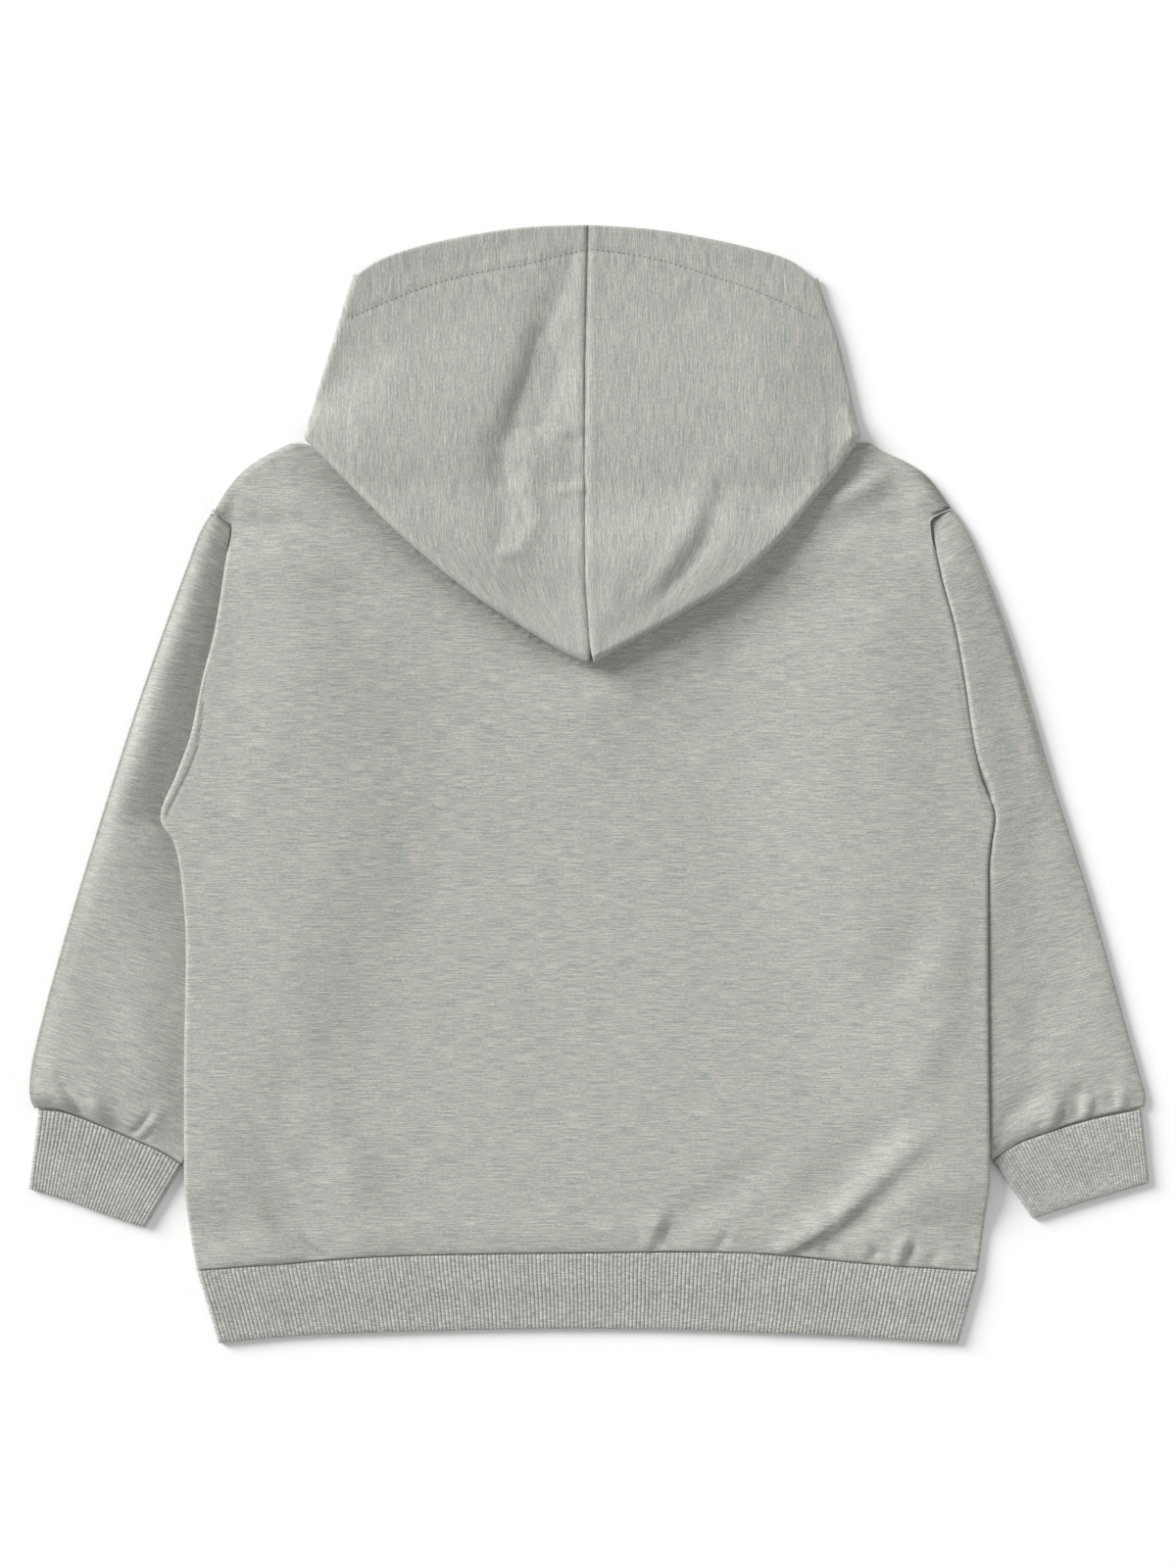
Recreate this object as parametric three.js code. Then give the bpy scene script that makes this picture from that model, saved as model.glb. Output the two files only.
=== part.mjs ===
// Toddler's pullover hoodie, laid flat with its front down and its hood spread over its back.
// Millimetres. X runs across the garment, Y from its hem to its hood and Z up from the surface
// that it lies on. The origin is on that surface, in the middle of the garment's outline.

import * as THREE from 'three';

// Cloth and the heights of the layers, each the middle of its wall
const WALL = 1.6;
const SEAM_GAP = 0.3;
const LAYER_STEP = WALL + SEAM_GAP;
const FLOOR_LEVEL = WALL / 2;
const BACK_LEVEL = FLOOR_LEVEL + LAYER_STEP;
const FOLD_RADIUS = LAYER_STEP / 2;
const FOLD_INSET = WALL / 2 + FOLD_RADIUS;
const FOLD_STEPS = 4;

// Body: how far its sides ride over the sleeves, and between which heights in the plan they do
const SIDE_LIFT = 4.3;
const FRONT_LIFT_SHARE = 0.92;
const BACK_LIFT_START = 126;
const FRONT_LIFT_START = 122.5;
const LIFT_FULL_Y = 98;
const LIFT_FADE_Y = -186;
const LIFT_END_Y = -214;

// Body: reach of its raised sides, how far their edges turn under, and how far down they do so
const SIDE_MARGIN = 10;
const SIDE_RAMP = 30;
const SIDE_ZONE = 24;
const SIDE_TURN_UNDER = 0.8;
const FRONT_TURN_START = 0.017;
const TURN_START = 0.045;
const TURN_FULL = 0.09;

// Body: how full it lies, and how far from each edge it is full
const BODY_LOFT = 1.3;
const FLAT_FROM_SIDE = 4;
const FULL_FROM_SIDE = 45;
const FULL_FROM_WAIST = 16;
const FULL_FROM_TOP = 30;

// Sleeves: fullness, how far outside the body's edge it starts, and the share that lies hidden
const SLEEVE_LOFT = 2.2;
const SLEEVE_FULL_START = 5;
const LEAST_HIDDEN = 0.12;
const MOST_HIDDEN = 0.75;
const CUFF_BOW_POWER = 8;

// Hood: fullness, sag between its halves, turn of the seam at the tip, and rise from the neckline
const HOOD_LOFT = 1.5;
const HOOD_SAG = 1.2;
const HOOD_TIP_TURN = 12;
const HOOD_NECK_RAMP = 22;
const HOOD_CORNER_RAMP = 10;
const HOOD_FULL_FROM_FOLD = 45;
const HEM_BOW_POWER = 4;

// Hood: highest places in the plan at which its crown and its lower layer follow the back
const CROWN_ON_BACK_Y = 140;
const NAPE_Y = 156;

// Hood: shares of its length at the end of the flat front layer and at its side corner
const HOOD_FLAT_END = 0.28;
const HOOD_CORNER = 0.34;

// Ribs raised on the outer face of the waistband and cuffs
const RIB_HEIGHT = 0.4;
const WAISTBAND_RIBS = 190;
const CUFF_RIBS = { left: 36, right: 43 };

// Outline of the body, from the shoulder tips down past the underarms to the waist seam
const BODY_SIDE = {
  left: [
    { y: 128.3, x: -176.6 }, { y: 121, x: -167.4 }, { y: 103, x: -170.2 }, { y: 71.3, x: -175.3 },
    { y: 48.3, x: -181.2 }, { y: 23.5, x: -186.3 }, { y: 4.1, x: -193.2 }, { y: -16.1, x: -200.6 },
    { y: -26.7, x: -194.6 }, { y: -40, x: -191.4 }, { y: -77.3, x: -188.6 }, { y: -138.9, x: -189.5 },
    { y: -184, x: -189.5 }, { y: -206.5, x: -187.7 }, { y: -228.6, x: -184 },
  ],
  right: [
    { y: 129.3, x: 171.6 }, { y: 123.3, x: 161 }, { y: 103, x: 164.2 }, { y: 71.3, x: 172.5 },
    { y: 48.3, x: 176.6 }, { y: 23.5, x: 180.3 }, { y: 4.1, x: 184 }, { y: -16.1, x: 190.6 },
    { y: -26.7, x: 189.1 }, { y: -40, x: 187.7 }, { y: -77.3, x: 187.7 }, { y: -138.9, x: 188.1 },
    { y: -184, x: 188.6 }, { y: -206.5, x: 186.3 }, { y: -229.1, x: 183.5 },
  ],
};

// Shoulder seams and the back neckline, from one shoulder tip to the other
const BACK_TOP = [
  { x: -176.6, y: 128.3 }, { x: -170.7, y: 138 }, { x: -162.8, y: 147.2 }, { x: -148.6, y: 156.4 },
  { x: -138, y: 160.3 }, { x: -126, y: 157.3 }, { x: -82.8, y: 149.5 }, { x: 0, y: 144.9 },
  { x: 82.8, y: 149.5 }, { x: 120.5, y: 157.3 }, { x: 131.6, y: 160.6 }, { x: 139.8, y: 156.4 },
  { x: 157.3, y: 147.2 }, { x: 165.6, y: 138 }, { x: 171.6, y: 129.3 },
];

// The back neckline alone, from one neck point to the other
const BACK_NECK = BACK_TOP.slice(4, -4);

// The same shoulders with the lower neckline of the front
const FRONT_TOP = [
  { x: -176.6, y: 128.3 }, { x: -170.7, y: 138 }, { x: -162.8, y: 147.2 }, { x: -148.6, y: 156 },
  { x: -138, y: 158.5 }, { x: -125, y: 150 }, { x: -92, y: 128 }, { x: -46, y: 113.5 },
  { x: 0, y: 109.4 },
  { x: 44, y: 113.5 }, { x: 88, y: 128 }, { x: 119.5, y: 150 }, { x: 131.6, y: 158.5 },
  { x: 139.8, y: 156 }, { x: 157.3, y: 147.2 }, { x: 165.6, y: 138 }, { x: 171.6, y: 129.3 },
];

// Seam between the body and the waistband
const WAIST_SEAM = [
  { x: -184, y: -228.6 }, { x: -137.1, y: -224.9 }, { x: -87.4, y: -221.7 }, { x: 0, y: -220.3 },
  { x: 46, y: -219.9 }, { x: 82.3, y: -220.8 }, { x: 131.6, y: -225.4 }, { x: 183.5, y: -229.1 },
];

// Lower edge of the waistband
const WAISTBAND_HEM = [
  { x: -173.9, y: -262.7 }, { x: -146.7, y: -259.9 }, { x: -114.1, y: -258.1 }, { x: 0, y: -255.8 },
  { x: 102.6, y: -258.5 }, { x: 174.3, y: -262.7 },
];

// Inner edge of each sleeve, which lies under the body: its armhole edge, then its underarm seam
const SLEEVE_SEAM = {
  left: [
    { y: 121.2, x: -168.7 }, { y: 116, x: -169 }, { y: 110, x: -169.8 }, { y: 100, x: -170.4 },
    { y: 90, x: -170 }, { y: 79, x: -158 }, { y: 64, x: -147 },
    { y: 40, x: -139 }, { y: 0, x: -136 }, { y: -30, x: -139 },
    { y: -70, x: -150 }, { y: -110, x: -164 }, { y: -150, x: -180 }, { y: -178.5, x: -190.6 },
  ],
  right: [
    { y: 123.4, x: 162.4 }, { y: 118, x: 162.8 }, { y: 110, x: 163.6 }, { y: 100, x: 164.4 },
    { y: 89, x: 164.4 }, { y: 78, x: 153 }, { y: 64, x: 142 },
    { y: 40, x: 135 }, { y: 0, x: 133 }, { y: -30, x: 136 },
    { y: -70, x: 147 }, { y: -110, x: 162 }, { y: -150, x: 179 }, { y: -176.6, x: 190 },
  ],
};

// Outer edge of each sleeve, from the shoulder tip to the cuff
const SLEEVE_EDGE = {
  left: [
    { x: -177.2, y: 127.4 }, { x: -182.2, y: 119 }, { x: -189.1, y: 101.2 }, { x: -199.2, y: 73.6 },
    { x: -212.1, y: 36.8 }, { x: -224, y: 0 }, { x: -235.5, y: -36.8 }, { x: -246.6, y: -73.6 },
    { x: -256.7, y: -110.4 }, { x: -262.3, y: -136 }, { x: -262.4, y: -147.7 },
    { x: -260.4, y: -152.6 },
  ],
  right: [
    { x: 172.2, y: 128.3 }, { x: 178, y: 119.6 }, { x: 186.3, y: 101.2 }, { x: 196.9, y: 73.6 },
    { x: 208.4, y: 36.8 }, { x: 219, y: 0 }, { x: 230.9, y: -36.8 }, { x: 242, y: -73.6 },
    { x: 252.1, y: -110.4 }, { x: 260, y: -138 }, { x: 262.2, y: -146.5 }, { x: 261.8, y: -151.8 },
  ],
};

// Seam between sleeve and cuff, and the lower edge of the cuff, each from the inside out
const CUFF_SEAM = {
  left: [
    { x: -190.6, y: -178.5 }, { x: -202.4, y: -171.6 }, { x: -214.4, y: -166.5 },
    { x: -225.9, y: -161.5 }, { x: -237.4, y: -156.9 }, { x: -247.9, y: -153.6 },
    { x: -258.5, y: -152.7 },
  ],
  right: [
    { x: 190, y: -176.6 }, { x: 201.9, y: -168.8 }, { x: 211.6, y: -165.1 }, { x: 220.8, y: -161.9 },
    { x: 236.4, y: -157.3 }, { x: 248.9, y: -154.6 }, { x: 260.4, y: -152.3 },
  ],
};
const CUFF_HEM = {
  left: [
    { x: -207.9, y: -208.4 }, { x: -222.2, y: -203.8 }, { x: -231.4, y: -200.6 },
    { x: -243.3, y: -196 }, { x: -263.1, y: -190 },
  ],
  right: [
    { x: 208.8, y: -204.2 }, { x: 224, y: -199.2 }, { x: 238.7, y: -194.6 }, { x: 264, y: -187.2 },
  ],
};

// Hood: the hem of its opening, its side fold, its lower fold down to the tip, and its centre seam
const HOOD_HEM = {
  left: [
    { x: 0, y: 262.7 }, { x: -25.8, y: 262 }, { x: -46, y: 259.9 }, { x: -81, y: 253 },
    { x: -100.7, y: 246.1 }, { x: -110.4, y: 239.7 },
  ],
  right: [
    { x: 0, y: 262.7 }, { x: 19, y: 261.8 }, { x: 38.2, y: 259.9 }, { x: 74.5, y: 253 },
    { x: 97.1, y: 246.1 }, { x: 108.1, y: 237.8 },
  ],
};
const HOOD_SIDE_FOLD = {
  left: [
    { x: -110.4, y: 239.7 }, { x: -113.6, y: 230 }, { x: -119.1, y: 211.6 }, { x: -124.7, y: 193.2 },
    { x: -130.2, y: 174.8 }, { x: -133.4, y: 162.4 },
  ],
  right: [
    { x: 108.1, y: 237.8 }, { x: 110.4, y: 230 }, { x: 116.8, y: 211.6 }, { x: 121.4, y: 193.2 },
    { x: 125.6, y: 174.8 }, { x: 127.9, y: 162.8 },
  ],
};
const HOOD_LOWER_FOLD = {
  left: [
    { x: -133.4, y: 162.4 }, { x: -109.9, y: 138.5 }, { x: -85.1, y: 114.1 }, { x: -53.4, y: 88.3 },
    { x: -25.3, y: 69.9 }, { x: -11, y: 61.2 }, { x: 0.6, y: 56.1 },
  ],
  right: [
    { x: 127.9, y: 162.8 }, { x: 117.3, y: 147.2 }, { x: 108.6, y: 136.6 }, { x: 91.1, y: 115.5 },
    { x: 68.1, y: 94.3 }, { x: 48.8, y: 82.3 }, { x: 30.8, y: 71.8 }, { x: 17, y: 64.4 },
    { x: 2.2, y: 56.1 },
  ],
};
const HOOD_SEAM = [
  { y: 262.7, x: 0 }, { y: 170, x: -1.4 }, { y: 100, x: -1.4 }, { y: 78.7, x: 0 }, { y: 56.1, x: 1.4 },
];

// Neckline under the hood: the hood's edge on the front and on the back, from the outside in
const HOOD_NECK_FRONT = {
  left: [{ x: -126.4, y: 159.2 }, { x: -92, y: 131.1 }, { x: -46, y: 115.5 }, { x: -1.2, y: 110.4 }],
  right: [{ x: 120.6, y: 159.4 }, { x: 88, y: 131.1 }, { x: 44, y: 115.5 }, { x: 1.2, y: 110.4 }],
};
const HOOD_NECK_BACK = {
  left: [{ x: -126.4, y: 159.2 }, { x: -82.8, y: 149.5 }, { x: -0.15, y: 144.9 }],
  right: [{ x: 120.6, y: 159.4 }, { x: 82.8, y: 149.5 }, { x: 0.15, y: 144.9 }],
};

// Largest folds: a ridge (height above 0) or a trough (below 0) along a line, width to each side
const BACK_FOLDS = [
  { x: 93.8, y: -219.4, toX: 134.3, toY: -190, width: 8, height: 1.6 },
  { x: 134.3, y: -190, toX: 161, toY: -163, width: 9, height: 1.2 },
  { x: 84, y: -207, toX: 140, toY: -165, width: 9, height: -1.1 },
  { x: -165, y: -151, toX: -140, toY: -205, width: 9, height: -1.1 },
  { x: -140, y: -205, toX: -122.8, toY: -222, width: 7, height: -1 },
  { x: -142.6, y: -132.5, toX: -99.4, toY: -206.5, width: 14, height: 1 },
  { x: -177.6, y: -87, toX: -124, toY: -170, width: 12, height: -0.9 },
  { x: 131.6, y: -108, toX: 158, toY: -63, width: 12, height: -0.9 },
  { x: 158, y: -100, toX: 172, toY: -60, width: 11, height: 0.9 },
  { x: 32.7, y: -210.7, toX: 67.6, toY: -190, width: 9, height: -0.9 },
];
const SLEEVE_FOLDS = {
  left: [
    { x: -188, y: 108, toX: -194, toY: 20, width: 9, height: -1.3 },
    { x: -246, y: -143, toX: -240, toY: -156, width: 4, height: 1.2 },
    { x: -205, y: -156, toX: -213, toY: -165, width: 5, height: 1.3 },
    { x: -226, y: -146, toX: -222, toY: -161, width: 5, height: 0.9 },
  ],
  right: [
    { x: 178, y: 92, toX: 184, toY: 36, width: 9, height: -1 },
    { x: 223, y: -150, toX: 222, toY: -160, width: 4, height: 1.1 },
    { x: 234, y: -149, toX: 234, toY: -157, width: 4, height: 1 },
    { x: 246, y: -142, toX: 246, toY: -154, width: 4, height: 1 },
    { x: 227, y: -139, toX: 228, toY: -150, width: 6, height: -1 },
  ],
};
const HOOD_FOLDS = [
  { x: -29, y: 204, toX: -28, toY: 166, width: 9, height: -2.2 },
  { x: -28, y: 166, toX: -42, toY: 142, width: 9, height: -1.4 },
  { x: -13, y: 216, toX: -12, toY: 148, width: 8, height: 1.4 },
  { x: -50, y: 190, toX: -40, toY: 108, width: 12, height: 0.8 },
  { x: 57.5, y: 142.6, toX: 26, toY: 76, width: 8, height: -1.2 },
  { x: 38, y: 140, toX: 14, toY: 84, width: 9, height: 1 },
  { x: 99, y: 137, toX: 108, toY: 152, width: 6, height: -0.8 },
];

const { clamp, lerp, smoothstep } = THREE.MathUtils;

/** Points spread evenly between two values, the first left out. */
function evenStations(from, to, count) {
  return Array.from({ length: count }, (_, k) => lerp(from, to, (k + 1) / count));
}

/** A column of a table read at any value of its key column, on a smooth curve through the rows. */
function readTable(table, key, at, column) {
  const rows = [...table].sort((a, b) => a[key] - b[key]);
  const last = rows.length - 1;
  const where = clamp(at, rows[0][key], rows[last][key]);
  let k = 0;
  while (k < last - 1 && rows[k + 1][key] < where) {
    k += 1;
  }
  const slope = (a) => (rows[a + 1][column] - rows[a][column]) / (rows[a + 1][key] - rows[a][key]);
  const tangent = (a) => {
    if (a === 0) {
      return slope(0);
    }
    if (a === last) {
      return slope(last - 1);
    }
    const before = slope(a - 1);
    const after = slope(a);
    return before * after > 0 ? (2 * before * after) / (before + after) : 0;
  };
  const span = rows[k + 1][key] - rows[k][key];
  const t = (where - rows[k][key]) / span;
  const rise = t * t * (3 - 2 * t);
  const pull = span * (t * (1 - t) * (1 - t) * tangent(k) - t * t * (1 - t) * tangent(k + 1));
  return lerp(rows[k][column], rows[k + 1][column], rise) + pull;
}

/** Smooth curve in the plane of the garment through the rows of a table. */
function planCurve(rows) {
  const points = rows.map((row) => new THREE.Vector3(row.x, row.y, 0));
  return new THREE.CatmullRomCurve3(points, false, 'centripetal');
}

/** Height that a table of soft folds adds at a point. */
function foldHeight(folds, x, y) {
  let height = 0;
  for (const fold of folds) {
    const runX = fold.toX - fold.x;
    const runY = fold.toY - fold.y;
    const along = clamp(((x - fold.x) * runX + (y - fold.y) * runY) / (runX ** 2 + runY ** 2), 0, 1);
    const distance = Math.hypot(x - fold.x - along * runX, y - fold.y - along * runY);
    height += fold.height * Math.exp(-((distance / fold.width) ** 2));
  }
  return height;
}

/** Unit normal at one point of a grid: the mean of the normals of the quads around it. */
function gridNormal(grid, j, i, closed) {
  const columns = grid[0].length;
  const normal = new THREE.Vector3();
  for (const [rowStep, columnStep] of [[-1, -1], [-1, 0], [0, -1], [0, 0]]) {
    const row = j + rowStep;
    const column = closed ? (i + columnStep + columns) % columns : i + columnStep;
    const next = closed ? (column + 1) % columns : column + 1;
    if (row >= 0 && row < grid.length - 1 && column >= 0 && next < columns) {
      const falling = new THREE.Vector3().subVectors(grid[row + 1][next], grid[row][column]);
      const rising = new THREE.Vector3().subVectors(grid[row][next], grid[row + 1][column]);
      normal.add(rising.cross(falling).normalize());
    }
  }
  return normal.normalize();
}

/**
 * Closed wall of cloth around a grid of points in its middle. The outer face is on the side of the
 * grid's normal, and relief(j, i) raises it. A closed grid joins its last column to its first.
 */
function clothWall(grid, { closed = false, relief = () => 0, facing = 1 } = {}) {
  const rows = grid.length;
  const columns = grid[0].length;
  const positions = [];
  for (const side of [1, -1]) {
    for (let j = 0; j < rows; j += 1) {
      for (let i = 0; i < columns; i += 1) {
        const raise = side === 1 ? relief(j, i) : 0;
        const normal = gridNormal(grid, j, i, closed).multiplyScalar(facing * side * (WALL / 2 + raise));
        positions.push(...new THREE.Vector3().addVectors(grid[j][i], normal).toArray());
      }
    }
  }
  const outer = (j, i) => j * columns + (i % columns);
  const inner = (j, i) => rows * columns + outer(j, i);
  const index = [];
  const quad = (a, b, c, d) => {
    const turned = facing === 1 ? [a, b, c, a, c, d] : [a, c, b, a, d, c];
    index.push(...turned);
  };
  const lastColumn = closed ? columns : columns - 1;
  for (let j = 0; j < rows - 1; j += 1) {
    for (let i = 0; i < lastColumn; i += 1) {
      quad(outer(j, i), outer(j, i + 1), outer(j + 1, i + 1), outer(j + 1, i));
      quad(inner(j, i), inner(j + 1, i), inner(j + 1, i + 1), inner(j, i + 1));
    }
  }
  for (let i = 0; i < lastColumn; i += 1) {
    quad(outer(0, i), inner(0, i), inner(0, i + 1), outer(0, i + 1));
    quad(outer(rows - 1, i), outer(rows - 1, i + 1), inner(rows - 1, i + 1), inner(rows - 1, i));
  }
  for (let j = 0; j < rows - 1 && !closed; j += 1) {
    const right = columns - 1;
    quad(outer(j, 0), outer(j + 1, 0), inner(j + 1, 0), inner(j, 0));
    quad(outer(j, right), inner(j, right), inner(j + 1, right), outer(j + 1, right));
  }
  const geometry = new THREE.BufferGeometry();
  geometry.setAttribute('position', new THREE.Float32BufferAttribute(positions, 3));
  geometry.setIndex(index);
  geometry.computeVertexNormals();
  return geometry;
}

/** Points of a fold from an upper layer to a lower one, round the garment's outline. */
function foldedEdge(edge, inward, upper, lower) {
  const radius = (upper - lower) / 2;
  const points = [];
  for (let k = 0; k <= FOLD_STEPS; k += 1) {
    const angle = (Math.PI * k) / FOLD_STEPS;
    const inset = WALL / 2 + radius * (1 - Math.sin(angle));
    const height = (upper + lower) / 2 + radius * Math.cos(angle);
    points.push(new THREE.Vector3(edge.x + inward.x * inset, edge.y + inward.y * inset, height));
  }
  return points;
}

/** How far the body is lifted over the sleeves, from a line below the shoulders to the cuffs. */
function sleeveLift(x, y, startY) {
  const pastLeft = x - readTable(SLEEVE_SEAM.left, 'y', y, 'x');
  const pastRight = readTable(SLEEVE_SEAM.right, 'y', y, 'x') - x;
  const over = 1 - smoothstep(Math.min(pastLeft, pastRight), SIDE_MARGIN, SIDE_MARGIN + SIDE_RAMP);
  const below = smoothstep(-y, -startY, -LIFT_FULL_Y) * (1 - smoothstep(-y, -LIFT_FADE_Y, -LIFT_END_Y));
  return SIDE_LIFT * over * below;
}

/** Height of the middle of the back panel's wall above the surface. */
function backHeight(x, y) {
  const fromLeft = x - readTable(BODY_SIDE.left, 'y', y, 'x');
  const fromRight = readTable(BODY_SIDE.right, 'y', y, 'x') - x;
  const fromSide = Math.max(Math.min(fromLeft, fromRight), 0);
  const fromTop = readTable(BACK_TOP, 'x', x, 'y') - y;
  const fromWaist = y - readTable(WAIST_SEAM, 'x', x, 'y');
  const lift = sleeveLift(x, y, BACK_LIFT_START);
  const inside = smoothstep(fromWaist, 0, FULL_FROM_WAIST) * smoothstep(fromTop, 0, FULL_FROM_TOP);
  const full = smoothstep(fromSide, FLAT_FROM_SIDE, FULL_FROM_SIDE) * inside;
  return BACK_LEVEL + lift + full * Math.max(BODY_LOFT + foldHeight(BACK_FOLDS, x, y), 0);
}

// Rows of both body panels, as shares of the way down: shoulder, armhole, underarm, side and waist
const BODY_ROWS = [
  0, ...evenStations(0, 0.035, 2), 0.05, 0.07, 0.095,
  ...evenStations(0.095, 0.38, 6),
  0.405,
  0.43, ...evenStations(0.43, 0.87, 7),
  ...evenStations(0.87, 1, 4),
];

// Columns of each part of a body panel's row, from its edge to its middle
const SIDE_COLUMNS = 3;
const RAMP_COLUMNS = 3;
const MIDDLE_COLUMNS = 9;

// Rows of a sleeve and of a hood half, as shares of their length
const SLEEVE_ROWS = [0, 0.017, 0.034, 0.06, ...evenStations(0.06, 0.9, 12), 0.94, 0.97, 1];
const HOOD_ROWS = [
  0, ...evenStations(0, HOOD_FLAT_END, 4), 0.3, 0.32, HOOD_CORNER, 0.37,
  ...evenStations(0.37, 0.94, 8), 0.97, 1,
];

/** One row of a body panel, from edge to edge, with the top edge's shape fading downwards. */
function bodyRow(top, down, inset) {
  const edge = (side, inward) => {
    const y = lerp(BODY_SIDE[side][0].y, BODY_SIDE[side].at(-1).y, down);
    const x = readTable(BODY_SIDE[side], 'y', y, 'x') + inward * inset;
    const sleeveEnd = inward * (readTable(SLEEVE_SEAM[side], 'y', y, 'x') - x);
    return { x, zone: Math.max(sleeveEnd + SIDE_MARGIN, SIDE_ZONE) };
  };
  const left = edge('left', 1);
  const right = edge('right', -1);
  const leftZone = left.x + left.zone;
  const rightZone = right.x - right.zone;
  const columns = [
    left.x,
    ...evenStations(left.x, leftZone, SIDE_COLUMNS),
    ...evenStations(leftZone, leftZone + SIDE_RAMP, RAMP_COLUMNS),
    ...evenStations(leftZone + SIDE_RAMP, rightZone - SIDE_RAMP, MIDDLE_COLUMNS),
    ...evenStations(rightZone - SIDE_RAMP, rightZone, RAMP_COLUMNS),
    ...evenStations(rightZone, right.x, SIDE_COLUMNS),
  ];
  return columns.map((x) => {
    const across = (x - left.x) / (right.x - left.x);
    const topX = lerp(BODY_SIDE.left[0].x, BODY_SIDE.right[0].x, across);
    const waistX = lerp(BODY_SIDE.left.at(-1).x, BODY_SIDE.right.at(-1).x, across);
    const waistY = readTable(WAIST_SEAM, 'x', waistX, 'y') + SEAM_GAP;
    return new THREE.Vector3(x, lerp(readTable(top, 'x', topX, 'y'), waistY, down), 0);
  });
}

/** Steps of an edge of cloth that rolls under: out past its start, and drop below it. */
function rolledEdge(turn, depth) {
  const flapSteps = 2;
  const bend = Math.max(turn, 0.001);
  const chord = (2 * FOLD_RADIUS * Math.sin((bend * Math.PI) / (2 * FOLD_STEPS))) / bend;
  const steps = [];
  let out = 0;
  let drop = 0;
  for (let k = 0; k < FOLD_STEPS + flapSteps; k += 1) {
    const length = k < FOLD_STEPS ? chord : depth / flapSteps;
    const angle = bend * Math.PI * Math.min((k + 0.5) / FOLD_STEPS, 1);
    out += length * Math.cos(angle);
    drop += length * Math.sin(angle);
    steps.push({ out, drop });
  }
  return steps;
}

/** Back panel, with its armhole and side edges rolled under to meet the front panel. */
function backPanel() {
  const grid = BODY_ROWS.map((down) => {
    const turn = smoothstep(down, TURN_START, TURN_FULL);
    const roll = rolledEdge(turn, SIDE_TURN_UNDER);
    const reach = Math.max(...roll.map((step) => step.out));
    const middle = bodyRow(BACK_TOP, down, reach + lerp(SEAM_GAP, WALL / 2, turn));
    middle.forEach((point) => point.setZ(backHeight(point.x, point.y)));
    const rolled = (start, outward) => roll.map((step) => (
      new THREE.Vector3(start.x + outward * step.out, start.y, start.z - step.drop)
    ));
    return [...rolled(middle[0], -1).reverse(), ...middle, ...rolled(middle.at(-1), 1)];
  });
  return clothWall(grid, { facing: -1 });
}

/** Front panel, flat on the surface, with its sides over the sleeves. */
function frontPanel() {
  const sideInset = FOLD_INSET + SIDE_TURN_UNDER + 2 * SEAM_GAP;
  const grid = BODY_ROWS.map((down) => {
    const turn = smoothstep(down, FRONT_TURN_START, TURN_START);
    const row = bodyRow(FRONT_TOP, down, lerp(2 * SEAM_GAP, sideInset, turn));
    const lift = ({ x, y }) => FRONT_LIFT_SHARE * sleeveLift(x, y, FRONT_LIFT_START);
    return row.map((point) => point.setZ(FLOOR_LEVEL + lift(point)));
  });
  return clothWall(grid, { facing: -1 });
}

/** Sleeve: folded at its outer edge, open at its inner edge along the armhole and underarm seams. */
function sleeve(side) {
  const inward = side === 'left' ? 1 : -1;
  const seam = SLEEVE_SEAM[side];
  const outline = planCurve(SLEEVE_EDGE[side]);
  const end = planCurve(CUFF_SEAM[side]);
  const hiddenColumns = 3;
  const seenColumns = 6;
  const grid = SLEEVE_ROWS.map((v) => {
    const edge = outline.getPointAt(v);
    const along = outline.getTangentAt(v);
    const inside = new THREE.Vector3(-along.y * inward, along.x * inward, 0);
    const seamY = lerp(seam[0].y, seam.at(-1).y, v);
    const seamEnd = new THREE.Vector3(readTable(seam, 'y', seamY, 'x'), seamY, 0);
    const foldEnd = edge.clone().addScaledVector(inside, FOLD_INSET);
    const place = (t) => {
      const bow = end.getPointAt(t).sub(end.getPointAt(0).lerp(end.getPointAt(1), t));
      return seamEnd.clone().lerp(foldEnd, t).addScaledVector(bow, v ** CUFF_BOW_POWER);
    };
    const fullX = readTable(BODY_SIDE[side], 'y', seamY, 'x') - SLEEVE_FULL_START * inward;
    const hiddenPart = (fullX - seamEnd.x) / (foldEnd.x - seamEnd.x);
    const hidden = clamp(hiddenPart, LEAST_HIDDEN, MOST_HIDDEN);
    const hiddenShares = [0, ...evenStations(0, hidden, hiddenColumns)];
    const shares = [...hiddenShares, ...evenStations(hidden, 1, seenColumns).slice(0, -1)];
    const upper = shares.map((t) => {
      const point = place(t);
      const seen = Math.max((t - hidden) / (1 - hidden), 0);
      const full = SLEEVE_LOFT * smoothstep(v, 0.02, 0.2) * (1 - smoothstep(v, 0.93, 1));
      const folds = foldHeight(SLEEVE_FOLDS[side], point.x, point.y);
      return point.setZ(BACK_LEVEL + Math.max(Math.sin(Math.PI * seen) * (full + folds), 0));
    });
    const lower = [...shares].reverse().map((t) => place(t).setZ(FLOOR_LEVEL));
    return [...upper, ...foldedEdge(edge, inside, BACK_LEVEL, FLOOR_LEVEL), ...lower];
  });
  return clothWall(grid, { facing: inward });
}

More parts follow.
